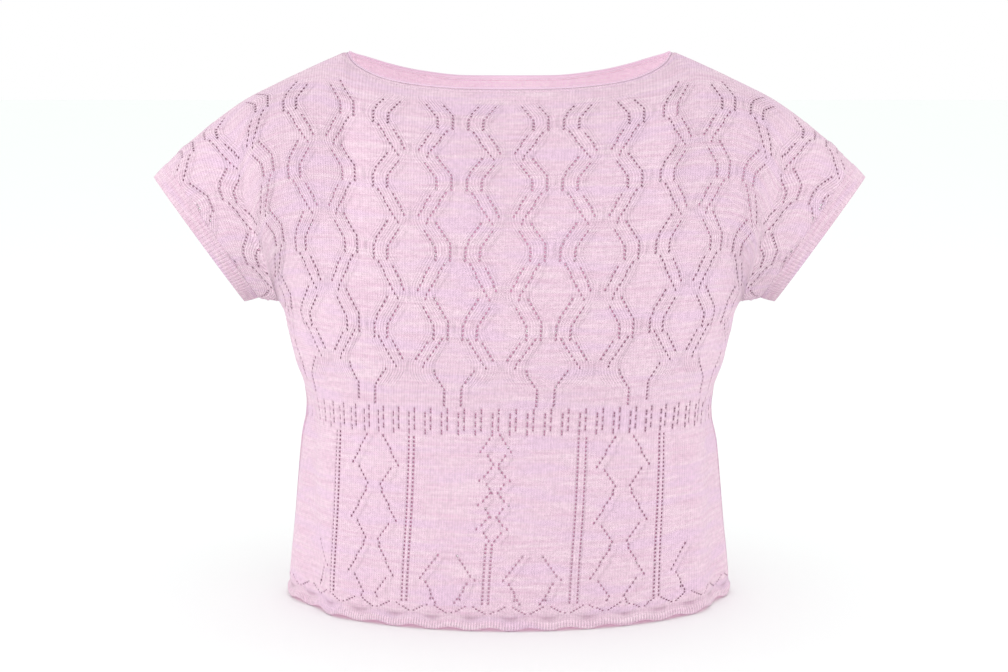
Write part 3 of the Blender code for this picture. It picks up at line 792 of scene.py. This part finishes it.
def build_panel(panel, sizes, materials):
    """One lace panel as a closed wall with real eyelets."""
    wale_at, step_at, target = knit_grid(panel)
    lace = chart(wale_at)
    outer, inner, out, stitch, ribbon = panel_layers(panel, lace, wale_at, step_at, sizes)
    rows, columns = target.shape
    count, sides = rows * columns, len(EYELET_SHAPE)
    own = target == np.arange(count).reshape(rows, columns)
    whole = own[:-1, :-1] & own[:-1, 1:] & own[1:, :-1] & own[1:, 1:]
    holes = deep_holes(lace, whole)
    vertices, stitches, ribbons = [outer, inner], [stitch, stitch], [ribbon, ribbon]
    total = 2 * count
    faces, kind = [], []
    border, groups = {}, {}
    needed = np.zeros((rows, columns), bool)
    needed[0] = True
    for row, column in itertools.product(range(rows - 1), range(columns - 1)):
        corner = cell_corners(target, row, column)
        if not corner:
            continue
        for a, b in zip(corner, corner[1:] + corner[:1]):
            if (b, a) in border:
                del border[b, a]
            else:
                border[a, b] = True
        if (row, column) not in holes:
            faces.append(corner)
            kind.append(OUTSIDE)
            groups.setdefault((row // 2, column // 2), []).append((row, column, corner))
            continue
        needed[row : row + 2, column : column + 2] = True
        height = (CELLS[row + 1] - CELLS[row]) * 2 * COURSE_HEIGHT
        outline = hole_outline(*holes[row, column], height, sizes)
        weights = np.array([[(1 - u) * (1 - v), u * (1 - v), u * v, (1 - u) * v] for u, v in outline])
        ids = np.array(corner)
        dip = out[ids].mean(0) * sizes.eyelet_dip / MM
        vertices += [weights @ outer[ids] - dip, weights @ inner[ids] + dip]
        around = weights @ stitch[ids]
        # painted shade: the eyelet's rim gets the material's darkest shade
        around[:, 2] = RIM_SHADE
        stitches += [around, around]
        ribbons += [weights @ ribbon[ids]] * 2
        rim = [total + k for k in range(sides)]
        under = [total + sides + k for k in range(sides)]
        total += 2 * sides
        right_faces = cell_ring(corner, rim)
        wrong_faces = cell_ring([v + count for v in corner], under)
        walls = [(rim[k], rim[(k + 1) % sides], under[(k + 1) % sides], under[k]) for k in range(sides)]
        faces += right_faces + wrong_faces + walls
        kind += [OUTSIDE] * len(right_faces) + [INSIDE] * len(wrong_faces) + [OUTSIDE] * len(walls)
    for a, b in border:
        faces.append((a, b, b + count, a + count))
        kind.append(OUTSIDE)
        for corner in (a, b):
            needed[divmod(corner, columns)] = True
    plain = plain_inner_faces(groups, whole, needed, target)
    faces += [tuple(v + count for v in face) for face in plain]
    kind += [INSIDE] * len(plain)

    vertices, stitches, ribbons = (np.concatenate(part) for part in (vertices, stitches, ribbons))
    used = np.unique(np.concatenate(faces))
    renumber = np.full(total, -1)
    renumber[used] = np.arange(len(used))
    faces = [renumber[list(face)].tolist() for face in faces]
    attributes = {"stitch": stitches[used], "ribbon": ribbons[used]}
    piece = new_object(f"{panel}_lace", vertices[used], faces, materials, kind, attributes)
    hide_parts(panel)
    return piece


def half_ring(top, low, reach_top, reach_low):
    """A cuff ring's front half from the shoulder seam down to the seam below, as a cubic curve.

    Its middle is drawn inwards, as the sleeve's last wale is.
    """
    s = np.linspace(0, 1, CURVE_POINTS)[:, None]
    a, b = np.array([top[0], 0.0, top[1]]), np.array([low[0], 0.0, low[1]])
    forward = np.array([0.0, -1.0, 0.0])
    inwards = -CUFF_PLANE * WALE_RUN["inset"][-1]
    return (
        (1 - s) ** 3 * a
        + 3 * s * (1 - s) ** 2 * (a + forward * reach_top + inwards)
        + 3 * s**2 * (1 - s) * (b + forward * reach_low + inwards)
        + s**3 * b
    )


def even_ring(front_half, count):
    """Points spaced evenly round the whole ring, whose back half mirrors its front."""
    back = front_half[::-1][1:-1] * [1, -1, 1]
    ring = np.concatenate([front_half, back, front_half[:1]])
    run = np.concatenate([[0], np.cumsum(np.linalg.norm(np.diff(ring, axis=0), axis=1))])
    at = np.arange(count) / count * run[-1]
    return np.stack([np.interp(at, run, ring[:, i]) for i in range(3)], -1)


def loop_faces(rings, count):
    """Quads round a closed section whose rings are `count` points each, in order, back to the first."""
    faces = []
    for ring in range(rings):
        low, high = ring * count, (ring + 1) % rings * count
        for i in range(count):
            j = (i + 1) % count
            faces.append((low + i, low + j, high + j, high + i))
    return faces


CUFF_RIBS = 112
RIB_POINTS = 8
CUFF_COURSES = 8  # across the band
CUFF_SECTION = 9  # points across the band on its outer side
CUFF_INNER = (1.0, 0.66, 0.33, 0.0)  # and on its inner side, as shares of its width, back from the edge
CUFF_INNER_WIDTH = 0.98
CUFF_ARC = (0.12, 0.88)  # part of a half turn that rounds the band from its seam to its edge
CUFF_CROWN, RIB_DEPTH, RIB_SWELL, RIB_INSIDE = 0.4, 0.35, 0.15, 0.2  # shares of the ribs' height


def build_cuff(name, mirror, sizes, materials):
    """A narrow band of one-by-one rib round the cap sleeve's end, with a rounded bound-off edge."""
    count = CUFF_RIBS * RIB_POINTS
    seam_top = (SHOULDER["x"][-1], SHOULDER["z"][-1])
    seam_low = (SLEEVE_UNDER["x"][-1], SLEEVE_UNDER["z"][-1])
    seam = half_ring(seam_top, seam_low, WALE_RUN["edge_reach"][-1], WALE_RUN["ring_reach"][-1])
    start = even_ring(seam, count)
    end = even_ring(half_ring(CUFF_EDGE_TOP, CUFF_EDGE_LOW, CUFF_EDGE_REACH, CUFF_EDGE_REACH), count)
    outwards = unit(np.cross(np.roll(start, -1, 0) - np.roll(start, 1, 0), CUFF_PLANE))
    if (outwards * (start - start.mean(0))).sum() < 0:
        outwards = -outwards
    rib = np.cos(2 * math.pi * np.arange(count) / RIB_POINTS)[:, None]
    height = sizes.rib_height / MM
    section = []  # shares of the width for place and for stitch, and the lift
    for share in np.linspace(0, 1, CUFF_SECTION):
        full = math.sin(math.pi * (CUFF_ARC[0] + (CUFF_ARC[1] - CUFF_ARC[0]) * share))
        lift = height * (CUFF_CROWN * full + rib * (RIB_DEPTH + RIB_SWELL * full))
        section.append((share, share, lift))
    for share in CUFF_INNER:
        section.append((share * CUFF_INNER_WIDTH, share, -WALL - rib * height * RIB_INSIDE))
    wales = np.arange(count) / RIB_POINTS * 2
    rings, stitch = [], []
    for place, share, lift in section:
        rings.append(start + (end - start) * place + outwards * lift)
        stitch.append(np.stack([wales, np.full(count, share * CUFF_COURSES), np.zeros(count)], -1))
    points = np.concatenate(rings) * [mirror, 1, 1]
    faces = loop_faces(len(rings), count)
    piece = new_object(f"{name}_rib", points, faces, materials, attributes={"stitch": np.concatenate(stitch)})
    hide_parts(name)
    return piece


NECK_STEP = 0.5  # wales between the neck edge's rings
# The edge's section, in mm outwards and up: a plain band with a thin roll along its top
NECK_SECTION = (
    (0.95, 0.3), (1.0, 1.2), (0.95, 2.0), (0.6, 2.5), (1.15, 2.8), (1.6, 3.4), (1.6, 4.1), (1.1, 4.7),
    (0.4, 5.0), (-0.4, 5.0), (-1.1, 4.7), (-1.5, 4.1), (-1.4, 3.4), (-1.0, 2.8), (-0.95, 2.0), (-1.0, 1.2),
    (-0.95, 0.3),
)
NECK_ROLL, NECK_CREASE = 2.6, 1.5  # mm up the section at which the roll starts, and the crease below it
ROLL_PAINTED_LIGHT, CREASE_PAINTED_SHADE = 0.9, -0.45  # painted light on the roll and painted shade in the crease below it, on the same scale as the lace's relief
NECK_TOP = 9  # the section's last point that isn't inside


def build_neck_edge(sizes, materials):
    """The narrow rolled edge round the neck, laid on both panels' neck edges."""
    rings = []
    for panel in ("front", "back"):
        points, normals = form(panel)
        wales = np.linspace(-NECK_WALE, NECK_WALE, int(2 * NECK_WALE / NECK_STEP) + 1)
        top = np.zeros(wales.shape)
        rings.append((read_grid(points, wales, top), unit(read_grid(normals, wales, top))))
    (front, front_out), (back, back_out) = rings
    for edge in (0, -1):
        front[edge] = (front[edge] + back[edge]) / 2
        front_out[edge] = unit(front_out[edge] + back_out[edge])
    ring = np.concatenate([front, back[::-1][1:-1]])
    outwards = np.concatenate([front_out, back_out[::-1][1:-1]])
    tangent = unit(np.roll(ring, -1, 0) - np.roll(ring, 1, 0))
    up = unit(np.cross(tangent, outwards))
    if up[:, 2].sum() < 0:
        up = -up
    count = len(ring)
    loops, stitch = [], []
    for out_mm, up_mm in NECK_SECTION:
        loops.append(ring + outwards * (out_mm - WALL / 2) + up * up_mm)
        rolled = up_mm > NECK_ROLL
        across = np.full(count, 0.5) if rolled else np.arange(count) * NECK_STEP
        raised = ROLL_PAINTED_LIGHT if rolled else CREASE_PAINTED_SHADE if up_mm > NECK_CREASE else 0.0
        stitch.append(np.stack([across, np.full(count, up_mm / COURSE_HEIGHT), np.full(count, raised)], -1))
    faces = loop_faces(len(NECK_SECTION), count)
    # the edge's inner faces take the full painted glow from the neck
    attributes = {"stitch": np.concatenate(stitch), "ribbon": [(0.0, 0.0, -1.0)] * len(NECK_SECTION) * count}
    inner = np.arange(len(faces)) >= (NECK_TOP + 1) * count
    kind = np.where(inner, INSIDE, OUTSIDE)
    piece = new_object("neck_edge", np.concatenate(loops), faces, materials, kind, attributes)
    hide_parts("neckband")
    return piece


# ---------------------------------------------------------------- materials


MATH = "ShaderNodeMath"
LEG_CLIMB = -1.3  # courses that a stitch's leg climbs across half a wale, times two
GAP_RELIEF = 1.2  # the stitches' relief goes from about minus this to this
# The noises' scales, to a wale and to a course
STREAK_SCALE = (0.05, 0.55, 0.0)  # streaks of the dye about 50 mm long and 3 mm high
PATCH_SCALE = (0.035, 0.16, 0.0)  # lilac patches about 70 mm wide and 11 mm high
UNEVEN_SCALE = (0.55, 0.5, 0.0)  # about two stitches either way
PLAIN_MARK, RIBBON_MARK, RIM_MARK = 0.55, 0.9, 1.9  # how deep the columns look, and how much deeper there
RIGHT_SHARES, WRONG_SHARES = (-1.0, 0.45), (0.25, 1.0)  # of the columns and of the legs in each side's relief
STREAK_SPAN, PATCH_SPAN = (0.3, 0.7), (0.48, 0.68)  # levels of the noise that go from one dye to the other
UNEVEN = 0.055  # how much paler or darker one stitch is than the next
SHADE_PINK = "#C98FAF"  # light that has gone from yarn to yarn in the shade of an eyelet
THROUGH_GLOW_PINK = "#D9A2BE"  # painted glow: emission that stands in for light that has come through the cloth
NECK_GLOW_PINK = "#EBDFE8"  # painted glow: emission that stands in for light that has come in at the neck
RIM_SPAN, RIM_DARK = (RIM_SHADE, -0.5), 0.62  # relief over which an eyelet's shade ends, and its brightness
LOW_SPAN, LOW_SHADE = (-0.6, 0.0), 0.88  # the same in the creases and in the groove above the hem
RIDGE_LIGHT = 1.07  # painted light: how much paler the highest stitches are made


def add_node(tree, kind, links=None, inputs=None, **settings):
    """Adds a node with its settings, its fixed inputs, and links into its inputs, by name or number."""
    node = tree.nodes.new(kind)
    for key, value in settings.items():
        setattr(node, key, value)
    for key, value in (inputs or {}).items():
        node.inputs[key].default_value = value
    for key, source in (links or {}).items():
        tree.links.new(source, node.inputs[key])
    return node


def knitted_cotton(name, colours, knit, purl=False):
    """Cotton-blend yarn knitted in fine gauge.

    To the eye it is matt and soft, with a faint sheen of loose fibres at grazing angles. Its stitches stand in
    slim upright columns with painted shade in the gaps between them, and streaks and lilac patches run along the
    courses where the yarn took the dye unevenly. Painted shade also darkens the eyelets' rims, the creases and
    the hem's groove, painted light makes the highest stitches paler, and on the wrong side a painted glow stands
    in for daylight through the cloth. One wale is 2.5 mm and one course 1.8 mm.
    """
    material = bpy.data.materials.new(name)
    material.use_nodes = True
    tree = material.node_tree
    tree.nodes.clear()
    shader = add_node(tree, "ShaderNodeBsdfPrincipled", inputs={
        "Roughness": 0.88, "IOR": 1.45, "Sheen Weight": 0.15, "Sheen Roughness": 0.5,
    })
    add_node(tree, "ShaderNodeOutputMaterial", {"Surface": shader.outputs["BSDF"]})
    stitch = add_node(tree, "ShaderNodeAttribute", attribute_name="stitch")
    parts = add_node(tree, "ShaderNodeSeparateXYZ", {"Vector": stitch.outputs["Vector"]})
    wale, course, raised = parts.outputs
    ribbon = add_node(tree, "ShaderNodeAttribute", attribute_name="ribbon")
    beside = add_node(tree, "ShaderNodeSeparateXYZ", {"Vector": ribbon.outputs["Vector"]})
    aside, reach, edge = beside.outputs  # edge is 1 at the hem's rim and -1 at the neck, where the wrong side's painted glow is full

    # The stitches: the right side has columns of two-legged stitches, and the wrong side rows of bumps
    columns = []
    for strands in (wale, add_node(tree, MATH, {0: wale, 1: aside}, operation="SUBTRACT").outputs[0]):
        turn = add_node(tree, MATH, {0: strands}, {1: 2 * math.pi}, operation="MULTIPLY")
        columns.append(add_node(tree, MATH, {0: turn.outputs[0]}, operation="COSINE").outputs[0])
    even = add_node(tree, "ShaderNodeMix", {0: reach, 2: columns[0], 3: columns[1]})
    rim = add_node(tree, "ShaderNodeMapRange", {"Value": edge}, {"To Min": 0.0, "To Max": RIM_MARK})
    plain = add_node(tree, MATH, {0: rim.outputs[0]}, {1: PLAIN_MARK}, operation="ADD")
    marked = add_node(tree, MATH, {0: reach, 2: plain.outputs[0]}, {1: RIBBON_MARK}, operation="MULTIPLY_ADD")
    column = add_node(tree, MATH, {0: even.outputs[0], 1: marked.outputs[0]}, operation="MULTIPLY")
    across = add_node(tree, MATH, {0: wale}, {1: 0.5}, operation="PINGPONG")
    climb = add_node(tree, MATH, {0: across.outputs[0], 2: course}, {1: LEG_CLIMB}, operation="MULTIPLY_ADD")
    leg_turn = add_node(tree, MATH, {0: climb.outputs[0]}, {1: 2 * math.pi}, operation="MULTIPLY")
    leg = add_node(tree, MATH, {0: leg_turn.outputs[0]}, operation="COSINE")
    column_share, leg_share = WRONG_SHARES if purl else RIGHT_SHARES
    legs = add_node(tree, MATH, {0: leg.outputs[0]}, {1: leg_share}, operation="MULTIPLY")
    relief = add_node(
        tree, MATH, {0: column.outputs[0], 2: legs.outputs[0]}, {1: column_share}, operation="MULTIPLY_ADD"
    )

    # The dye: fine streaks along the courses and wider lilac patches, and each stitch a little paler or darker
    levels = []
    for scale, detail, rough, span, to in (
        (STREAK_SCALE, 3.0, 0.6, STREAK_SPAN, (0.0, 1.0)),
        (PATCH_SCALE, 2.0, 0.5, PATCH_SPAN, (0.0, 1.0)),
        (UNEVEN_SCALE, 1.0, 0.5, STREAK_SPAN, (1 - UNEVEN, 1 + UNEVEN)),
    ):
        place = add_node(
            tree, "ShaderNodeVectorMath", {0: stitch.outputs["Vector"]}, {1: scale}, operation="MULTIPLY"
        )
        noise = add_node(
            tree, "ShaderNodeTexNoise", {"Vector": place.outputs[0]},
            {"Scale": 1.0, "Detail": detail, "Roughness": rough}, noise_dimensions="2D",
        )
        level = add_node(
            tree, "ShaderNodeMapRange", {"Value": noise.outputs["Fac"]},
            {"From Min": span[0], "From Max": span[1], "To Min": to[0], "To Max": to[1]},
        )
        levels.append(level.outputs[0])
    streaks, patches, unevenness = levels
    dyed = add_node(
        tree, "ShaderNodeMix", {0: streaks}, {6: srgb(colours[0]), 7: srgb(colours[1])}, data_type="RGBA"
    )
    cooled = add_node(
        tree, "ShaderNodeMix", {0: patches, 6: dyed.outputs[2]}, {7: srgb(colours[2])}, data_type="RGBA"
    )

    # The shade in the gaps between stitches and round the eyelets, and the light on what stands up
    gap = add_node(
        tree, "ShaderNodeMapRange", {"Value": relief.outputs[0]},
        {"From Min": -GAP_RELIEF, "From Max": GAP_RELIEF, "To Min": knit.gap_shade}, clamp=False,
    )
    sunk = add_node(
        tree, "ShaderNodeMapRange", {"Value": raised},
        {"From Min": RIM_SPAN[0], "From Max": RIM_SPAN[1], "To Min": knit.rim_shade},
    )
    dim = add_node(tree, "ShaderNodeMapRange", {"Value": sunk.outputs[0]}, {"To Min": RIM_DARK})
    low = add_node(
        tree, "ShaderNodeMapRange", {"Value": raised},
        {"From Min": LOW_SPAN[0], "From Max": LOW_SPAN[1], "To Min": LOW_SHADE},
    )
    high = add_node(tree, "ShaderNodeMapRange", {"Value": raised}, {"To Min": 1.0, "To Max": RIDGE_LIGHT})
    shade = gap
    for part in (dim.outputs[0], low.outputs[0], high.outputs[0], unevenness):
        shade = add_node(tree, MATH, {0: shade.outputs[0], 1: part}, operation="MULTIPLY")
    # painted shade: round the eyelets the yarn's colour turns towards the shade's pink
    eyelet_shade_tint = add_node(
        tree, "ShaderNodeMix", {0: sunk.outputs[0], 7: cooled.outputs[2]}, {6: srgb(SHADE_PINK)},
        data_type="RGBA",
    )
    shaded = add_node(
        tree, "ShaderNodeMix", {6: eyelet_shade_tint.outputs[2], 7: shade.outputs[0]}, {0: 1.0},
        data_type="RGBA", blend_type="MULTIPLY",
    )
    tree.links.new(shaded.outputs[2], shader.inputs["Base Color"])
    if purl:  # painted glow: emission on the wrong side stands in for daylight that comes through the thin cloth, most of it near the neck
        neck = add_node(tree, "ShaderNodeMapRange", {"Value": edge}, {"From Min": 0.0, "From Max": -1.0})
        pale = add_node(
            tree, "ShaderNodeMix", {7: shade.outputs[0]}, {0: 1.0, 6: srgb(NECK_GLOW_PINK)},
            data_type="RGBA", blend_type="MULTIPLY",
        )
        through = add_node(
            tree, "ShaderNodeMix", {0: neck.outputs[0], 7: pale.outputs[2]}, {6: srgb(THROUGH_GLOW_PINK)},
            data_type="RGBA",
        )
        strength = add_node(
            tree, "ShaderNodeMapRange", {"Value": neck.outputs[0]},
            {"To Min": knit.through_glow_strength, "To Max": knit.neck_glow_strength},
        )
        tree.links.new(through.outputs[2], shader.inputs["Emission Color"])
        tree.links.new(strength.outputs[0], shader.inputs["Emission Strength"])
    bump = add_node(
        tree, "ShaderNodeBump", {"Height": relief.outputs[0]}, {"Strength": 0.6, "Distance": knit.stitch_relief}
    )
    tree.links.new(bump.outputs["Normal"], shader.inputs["Normal"])
    return material


def matt_paper(name, code):
    """Uncoated seamless paper, as rolled: an even matt white with no gloss and no grain that shows."""
    material = bpy.data.materials.new(name)
    material.use_nodes = True
    shader = material.node_tree.nodes["Principled BSDF"]
    shader.inputs["Base Color"].default_value = srgb(code)
    shader.inputs["Roughness"].default_value = 0.9
    return material


# ---------------------------------------------------------------- the add-on's properties


class JUMPER_PG_knit(bpy.types.PropertyGroup):
    """Sizes of the knitting."""

    eyelet_width: bpy.props.FloatProperty(
        name="Eyelet width", description="Width of an eyelet", default=0.0017, unit="LENGTH", precision=5)
    eyelet_length: bpy.props.FloatProperty(
        name="Eyelet length", description="Height of an eyelet", default=0.0022, unit="LENGTH", precision=5)
    eyelet_dip: bpy.props.FloatProperty(
        name="Eyelet dip", description="How far an eyelet's rim sinks into the cloth", default=0.0003,
        unit="LENGTH", precision=5)
    ribbon_height: bpy.props.FloatProperty(
        name="Ribbon height", description="How far the wave columns' ribbons stand up", default=0.0009,
        unit="LENGTH", precision=5)
    ridge_height: bpy.props.FloatProperty(
        name="Ridge height", description="How far the stitches beside an eyelet stand up", default=0.0005,
        unit="LENGTH", precision=5)
    hem_roll: bpy.props.FloatProperty(
        name="Hem roll", description="How far the bound-off hem rolls outwards", default=0.0012,
        unit="LENGTH", precision=5)
    rib_height: bpy.props.FloatProperty(
        name="Rib height", description="How far the cuffs' ribs stand up", default=0.0007,
        unit="LENGTH", precision=5)
    stitch_relief: bpy.props.FloatProperty(
        name="Stitch relief", description="Height of the stitches in the bump", default=0.0005,
        unit="LENGTH", precision=5)
    gap_shade: bpy.props.FloatProperty(
        name="Gap shade", description="Brightness of the gaps between stitches", default=0.86, subtype="FACTOR",
        min=0, max=1)
    rim_shade: bpy.props.FloatProperty(
        name="Rim shade", description="Brightness of the cloth round an eyelet", default=0.5, subtype="FACTOR",
        min=0, max=1)
    # painted glow: how strongly the wrong side glows, away from the neck and inside it
    through_glow_strength: bpy.props.FloatProperty(
        name="Light through", description="Daylight that comes through the cloth to its wrong side",
        default=0.34, subtype="FACTOR", min=0, max=1)
    neck_glow_strength: bpy.props.FloatProperty(
        name="Neck light", description="The same inside the neck, where more daylight reaches", default=0.54,
        subtype="FACTOR", min=0, max=1)


class JUMPER_PG_colour(bpy.types.PropertyGroup):
    """Colours of the yarn, as sRGB hex codes."""

    yarn_pale: bpy.props.StringProperty(
        name="Pale yarn", description="Palest dye of the yarn", default="#E9CEDB")
    yarn_deep: bpy.props.StringProperty(
        name="Deep yarn", description="Deepest dye of the yarn", default="#DFBCCF")
    yarn_cool: bpy.props.StringProperty(
        name="Cool yarn", description="Lilac cast in patches", default="#E2C2D8")
    floor: bpy.props.StringProperty(
        name="Floor", description="Colour of the floor, with a trace of green against the yarn's pink light",
        default="#FBFFFD")


# ---------------------------------------------------------------- the add-on's operators


def knit_of(context):
    return context.scene.jumper_knit


def cloth_side(context, name, purl):
    """One side of the cloth, made once."""
    colour = context.scene.jumper_colour
    colours = (colour.yarn_pale, colour.yarn_deep, colour.yarn_cool)
    return bpy.data.materials.get(name) or knitted_cotton(name, colours, knit_of(context), purl)


def right_side(context):
    return cloth_side(context, "cotton_blend_stocking_stitch", purl=False)


def both_sides(context):
    return [right_side(context), cloth_side(context, "cotton_blend_purl_side", purl=True)]


class JUMPER_OT_front(bpy.types.Operator):
    """Knit the lace front with both half sleeves"""

    bl_idname = "jumper.front"
    bl_label = "Front"

    def execute(self, context):
        piece = build_panel("front", knit_of(context), both_sides(context))
        return {"FINISHED"}


class JUMPER_OT_back(bpy.types.Operator):
    """Knit the lace back with both half sleeves"""

    bl_idname = "jumper.back"
    bl_label = "Back"

    def execute(self, context):
        piece = build_panel("back", knit_of(context), both_sides(context))
        return {"FINISHED"}


class JUMPER_OT_cuffs(bpy.types.Operator):
    """Rib both cuffs"""

    bl_idname = "jumper.cuffs"
    bl_label = "Cuffs"

    def execute(self, context):
        for name, mirror in (("cuff_left", 1), ("cuff_right", -1)):
            piece = build_cuff(name, mirror, knit_of(context), [right_side(context)])
        return {"FINISHED"}


class JUMPER_OT_neck_edge(bpy.types.Operator):
    """Roll the neck edge"""

    bl_idname = "jumper.neck_edge"
    bl_label = "Neck edge"

    def execute(self, context):
        piece = build_neck_edge(knit_of(context), both_sides(context))
        return {"FINISHED"}


CAMERA_AT = (-0.005, -2.1, 0.12)
CAMERA_AIM = (-0.005, 0.0, -0.255)
CAMERA_LENS, CAMERA_SENSOR = 83.4, 36.0
FLOOR_HEIGHT, FLOOR_HALF = -0.4966, 6.0
SKY = "#FFFFFF"
LIGHT_AIM = (0, 0, -0.25)
SOFTBOXES = (  # name, place, size in metres, watts, and what it lights
    ("key_softbox", (-0.7, -1.9, 0.4), 1.0, 3.6, "jumper"),
    ("left_softbox", (-1.5, -0.7, -0.05), 0.9, 9.0, "jumper"),
    ("right_softbox", (1.5, -0.7, -0.05), 0.9, 7.5, "jumper"),
    ("floor_softbox", (0.0, 0.0, 2.0), 2.5, 8.0, "floor"),
)


def aim(obj, at, target):
    obj.location = at
    obj.rotation_euler = (Vector(target) - Vector(at)).to_track_quat("-Z", "Y").to_euler()


class JUMPER_OT_stage(bpy.types.Operator):
    """Set the floor, the soft light and the camera"""

    bl_idname = "jumper.stage"
    bl_label = "Stage"

    def execute(self, context):
        scene = context.scene
        corners = [
            (x * FLOOR_HALF, y * FLOOR_HALF, FLOOR_HEIGHT) for x, y in ((-1, -1), (1, -1), (1, 1), (-1, 1))
        ]
        mesh = bpy.data.meshes.new("studio_floor")
        mesh.from_pydata(corners, [], [(0, 1, 2, 3)])
        mesh.materials.append(matt_paper("studio_paper", scene.jumper_colour.floor))
        floor = bpy.data.objects.new("studio_floor", mesh)
        scene.collection.objects.link(floor)
        world = bpy.data.worlds.new("studio_sky")
        world.use_nodes = True
        background = world.node_tree.nodes["Background"]
        background.inputs["Color"].default_value = srgb(SKY)
        background.inputs["Strength"].default_value = 1.0
        scene.world = world
        # The jumper and the floor are lit apart, so that the jumper's soft shadow still shows on a white floor
        receivers = {name: bpy.data.collections.new(name) for name in ("jumper", "floor")}
        for obj in scene.objects:
            if obj.type == "MESH":
                receivers["floor" if obj is floor else "jumper"].objects.link(obj)
        for name, at, size, power, lit in SOFTBOXES:
            data = bpy.data.lights.new(name, "AREA")
            data.size, data.energy = size, power
            light = bpy.data.objects.new(name, data)
            aim(light, at, LIGHT_AIM)
            light.light_linking.receiver_collection = receivers[lit]
            scene.collection.objects.link(light)
        data = bpy.data.cameras.new("photo_camera")
        data.lens, data.sensor_width, data.sensor_fit = CAMERA_LENS, CAMERA_SENSOR, "HORIZONTAL"
        camera = bpy.data.objects.new("photo_camera", data)
        aim(camera, CAMERA_AT, CAMERA_AIM)
        scene.collection.objects.link(camera)
        scene.camera = camera
        scene.view_settings.view_transform = "Standard"
        return {"FINISHED"}


class JUMPER_PT_panel(bpy.types.Panel):
    """The jumper's pieces, sizes and colours in the sidebar"""

    bl_idname = "JUMPER_PT_panel"
    bl_label = "Jumper"
    bl_space_type = "VIEW_3D"
    bl_region_type = "UI"
    bl_category = "Jumper"

    def draw(self, context):
        for operator in OPERATORS:
            self.layout.operator(operator.bl_idname)
        for name in GROUPS:
            group = getattr(context.scene, name)
            for prop in group.__annotations__:
                self.layout.prop(group, prop)


OPERATORS = (JUMPER_OT_front, JUMPER_OT_back, JUMPER_OT_cuffs, JUMPER_OT_neck_edge, JUMPER_OT_stage)
GROUPS = {"jumper_knit": JUMPER_PG_knit, "jumper_colour": JUMPER_PG_colour}


def register():
    for cls in (*GROUPS.values(), *OPERATORS, JUMPER_PT_panel):
        bpy.utils.register_class(cls)
    for name, group in GROUPS.items():
        setattr(bpy.types.Scene, name, bpy.props.PointerProperty(type=group))


def unregister():
    for name in GROUPS:
        delattr(bpy.types.Scene, name)
    for cls in reversed((*GROUPS.values(), *OPERATORS, JUMPER_PT_panel)):
        bpy.utils.unregister_class(cls)


def main():
    register()
    for operator in OPERATORS:
        group, name = operator.bl_idname.split(".")
        getattr(getattr(bpy.ops, group), name)()


if __name__ == "__main__":
    main()
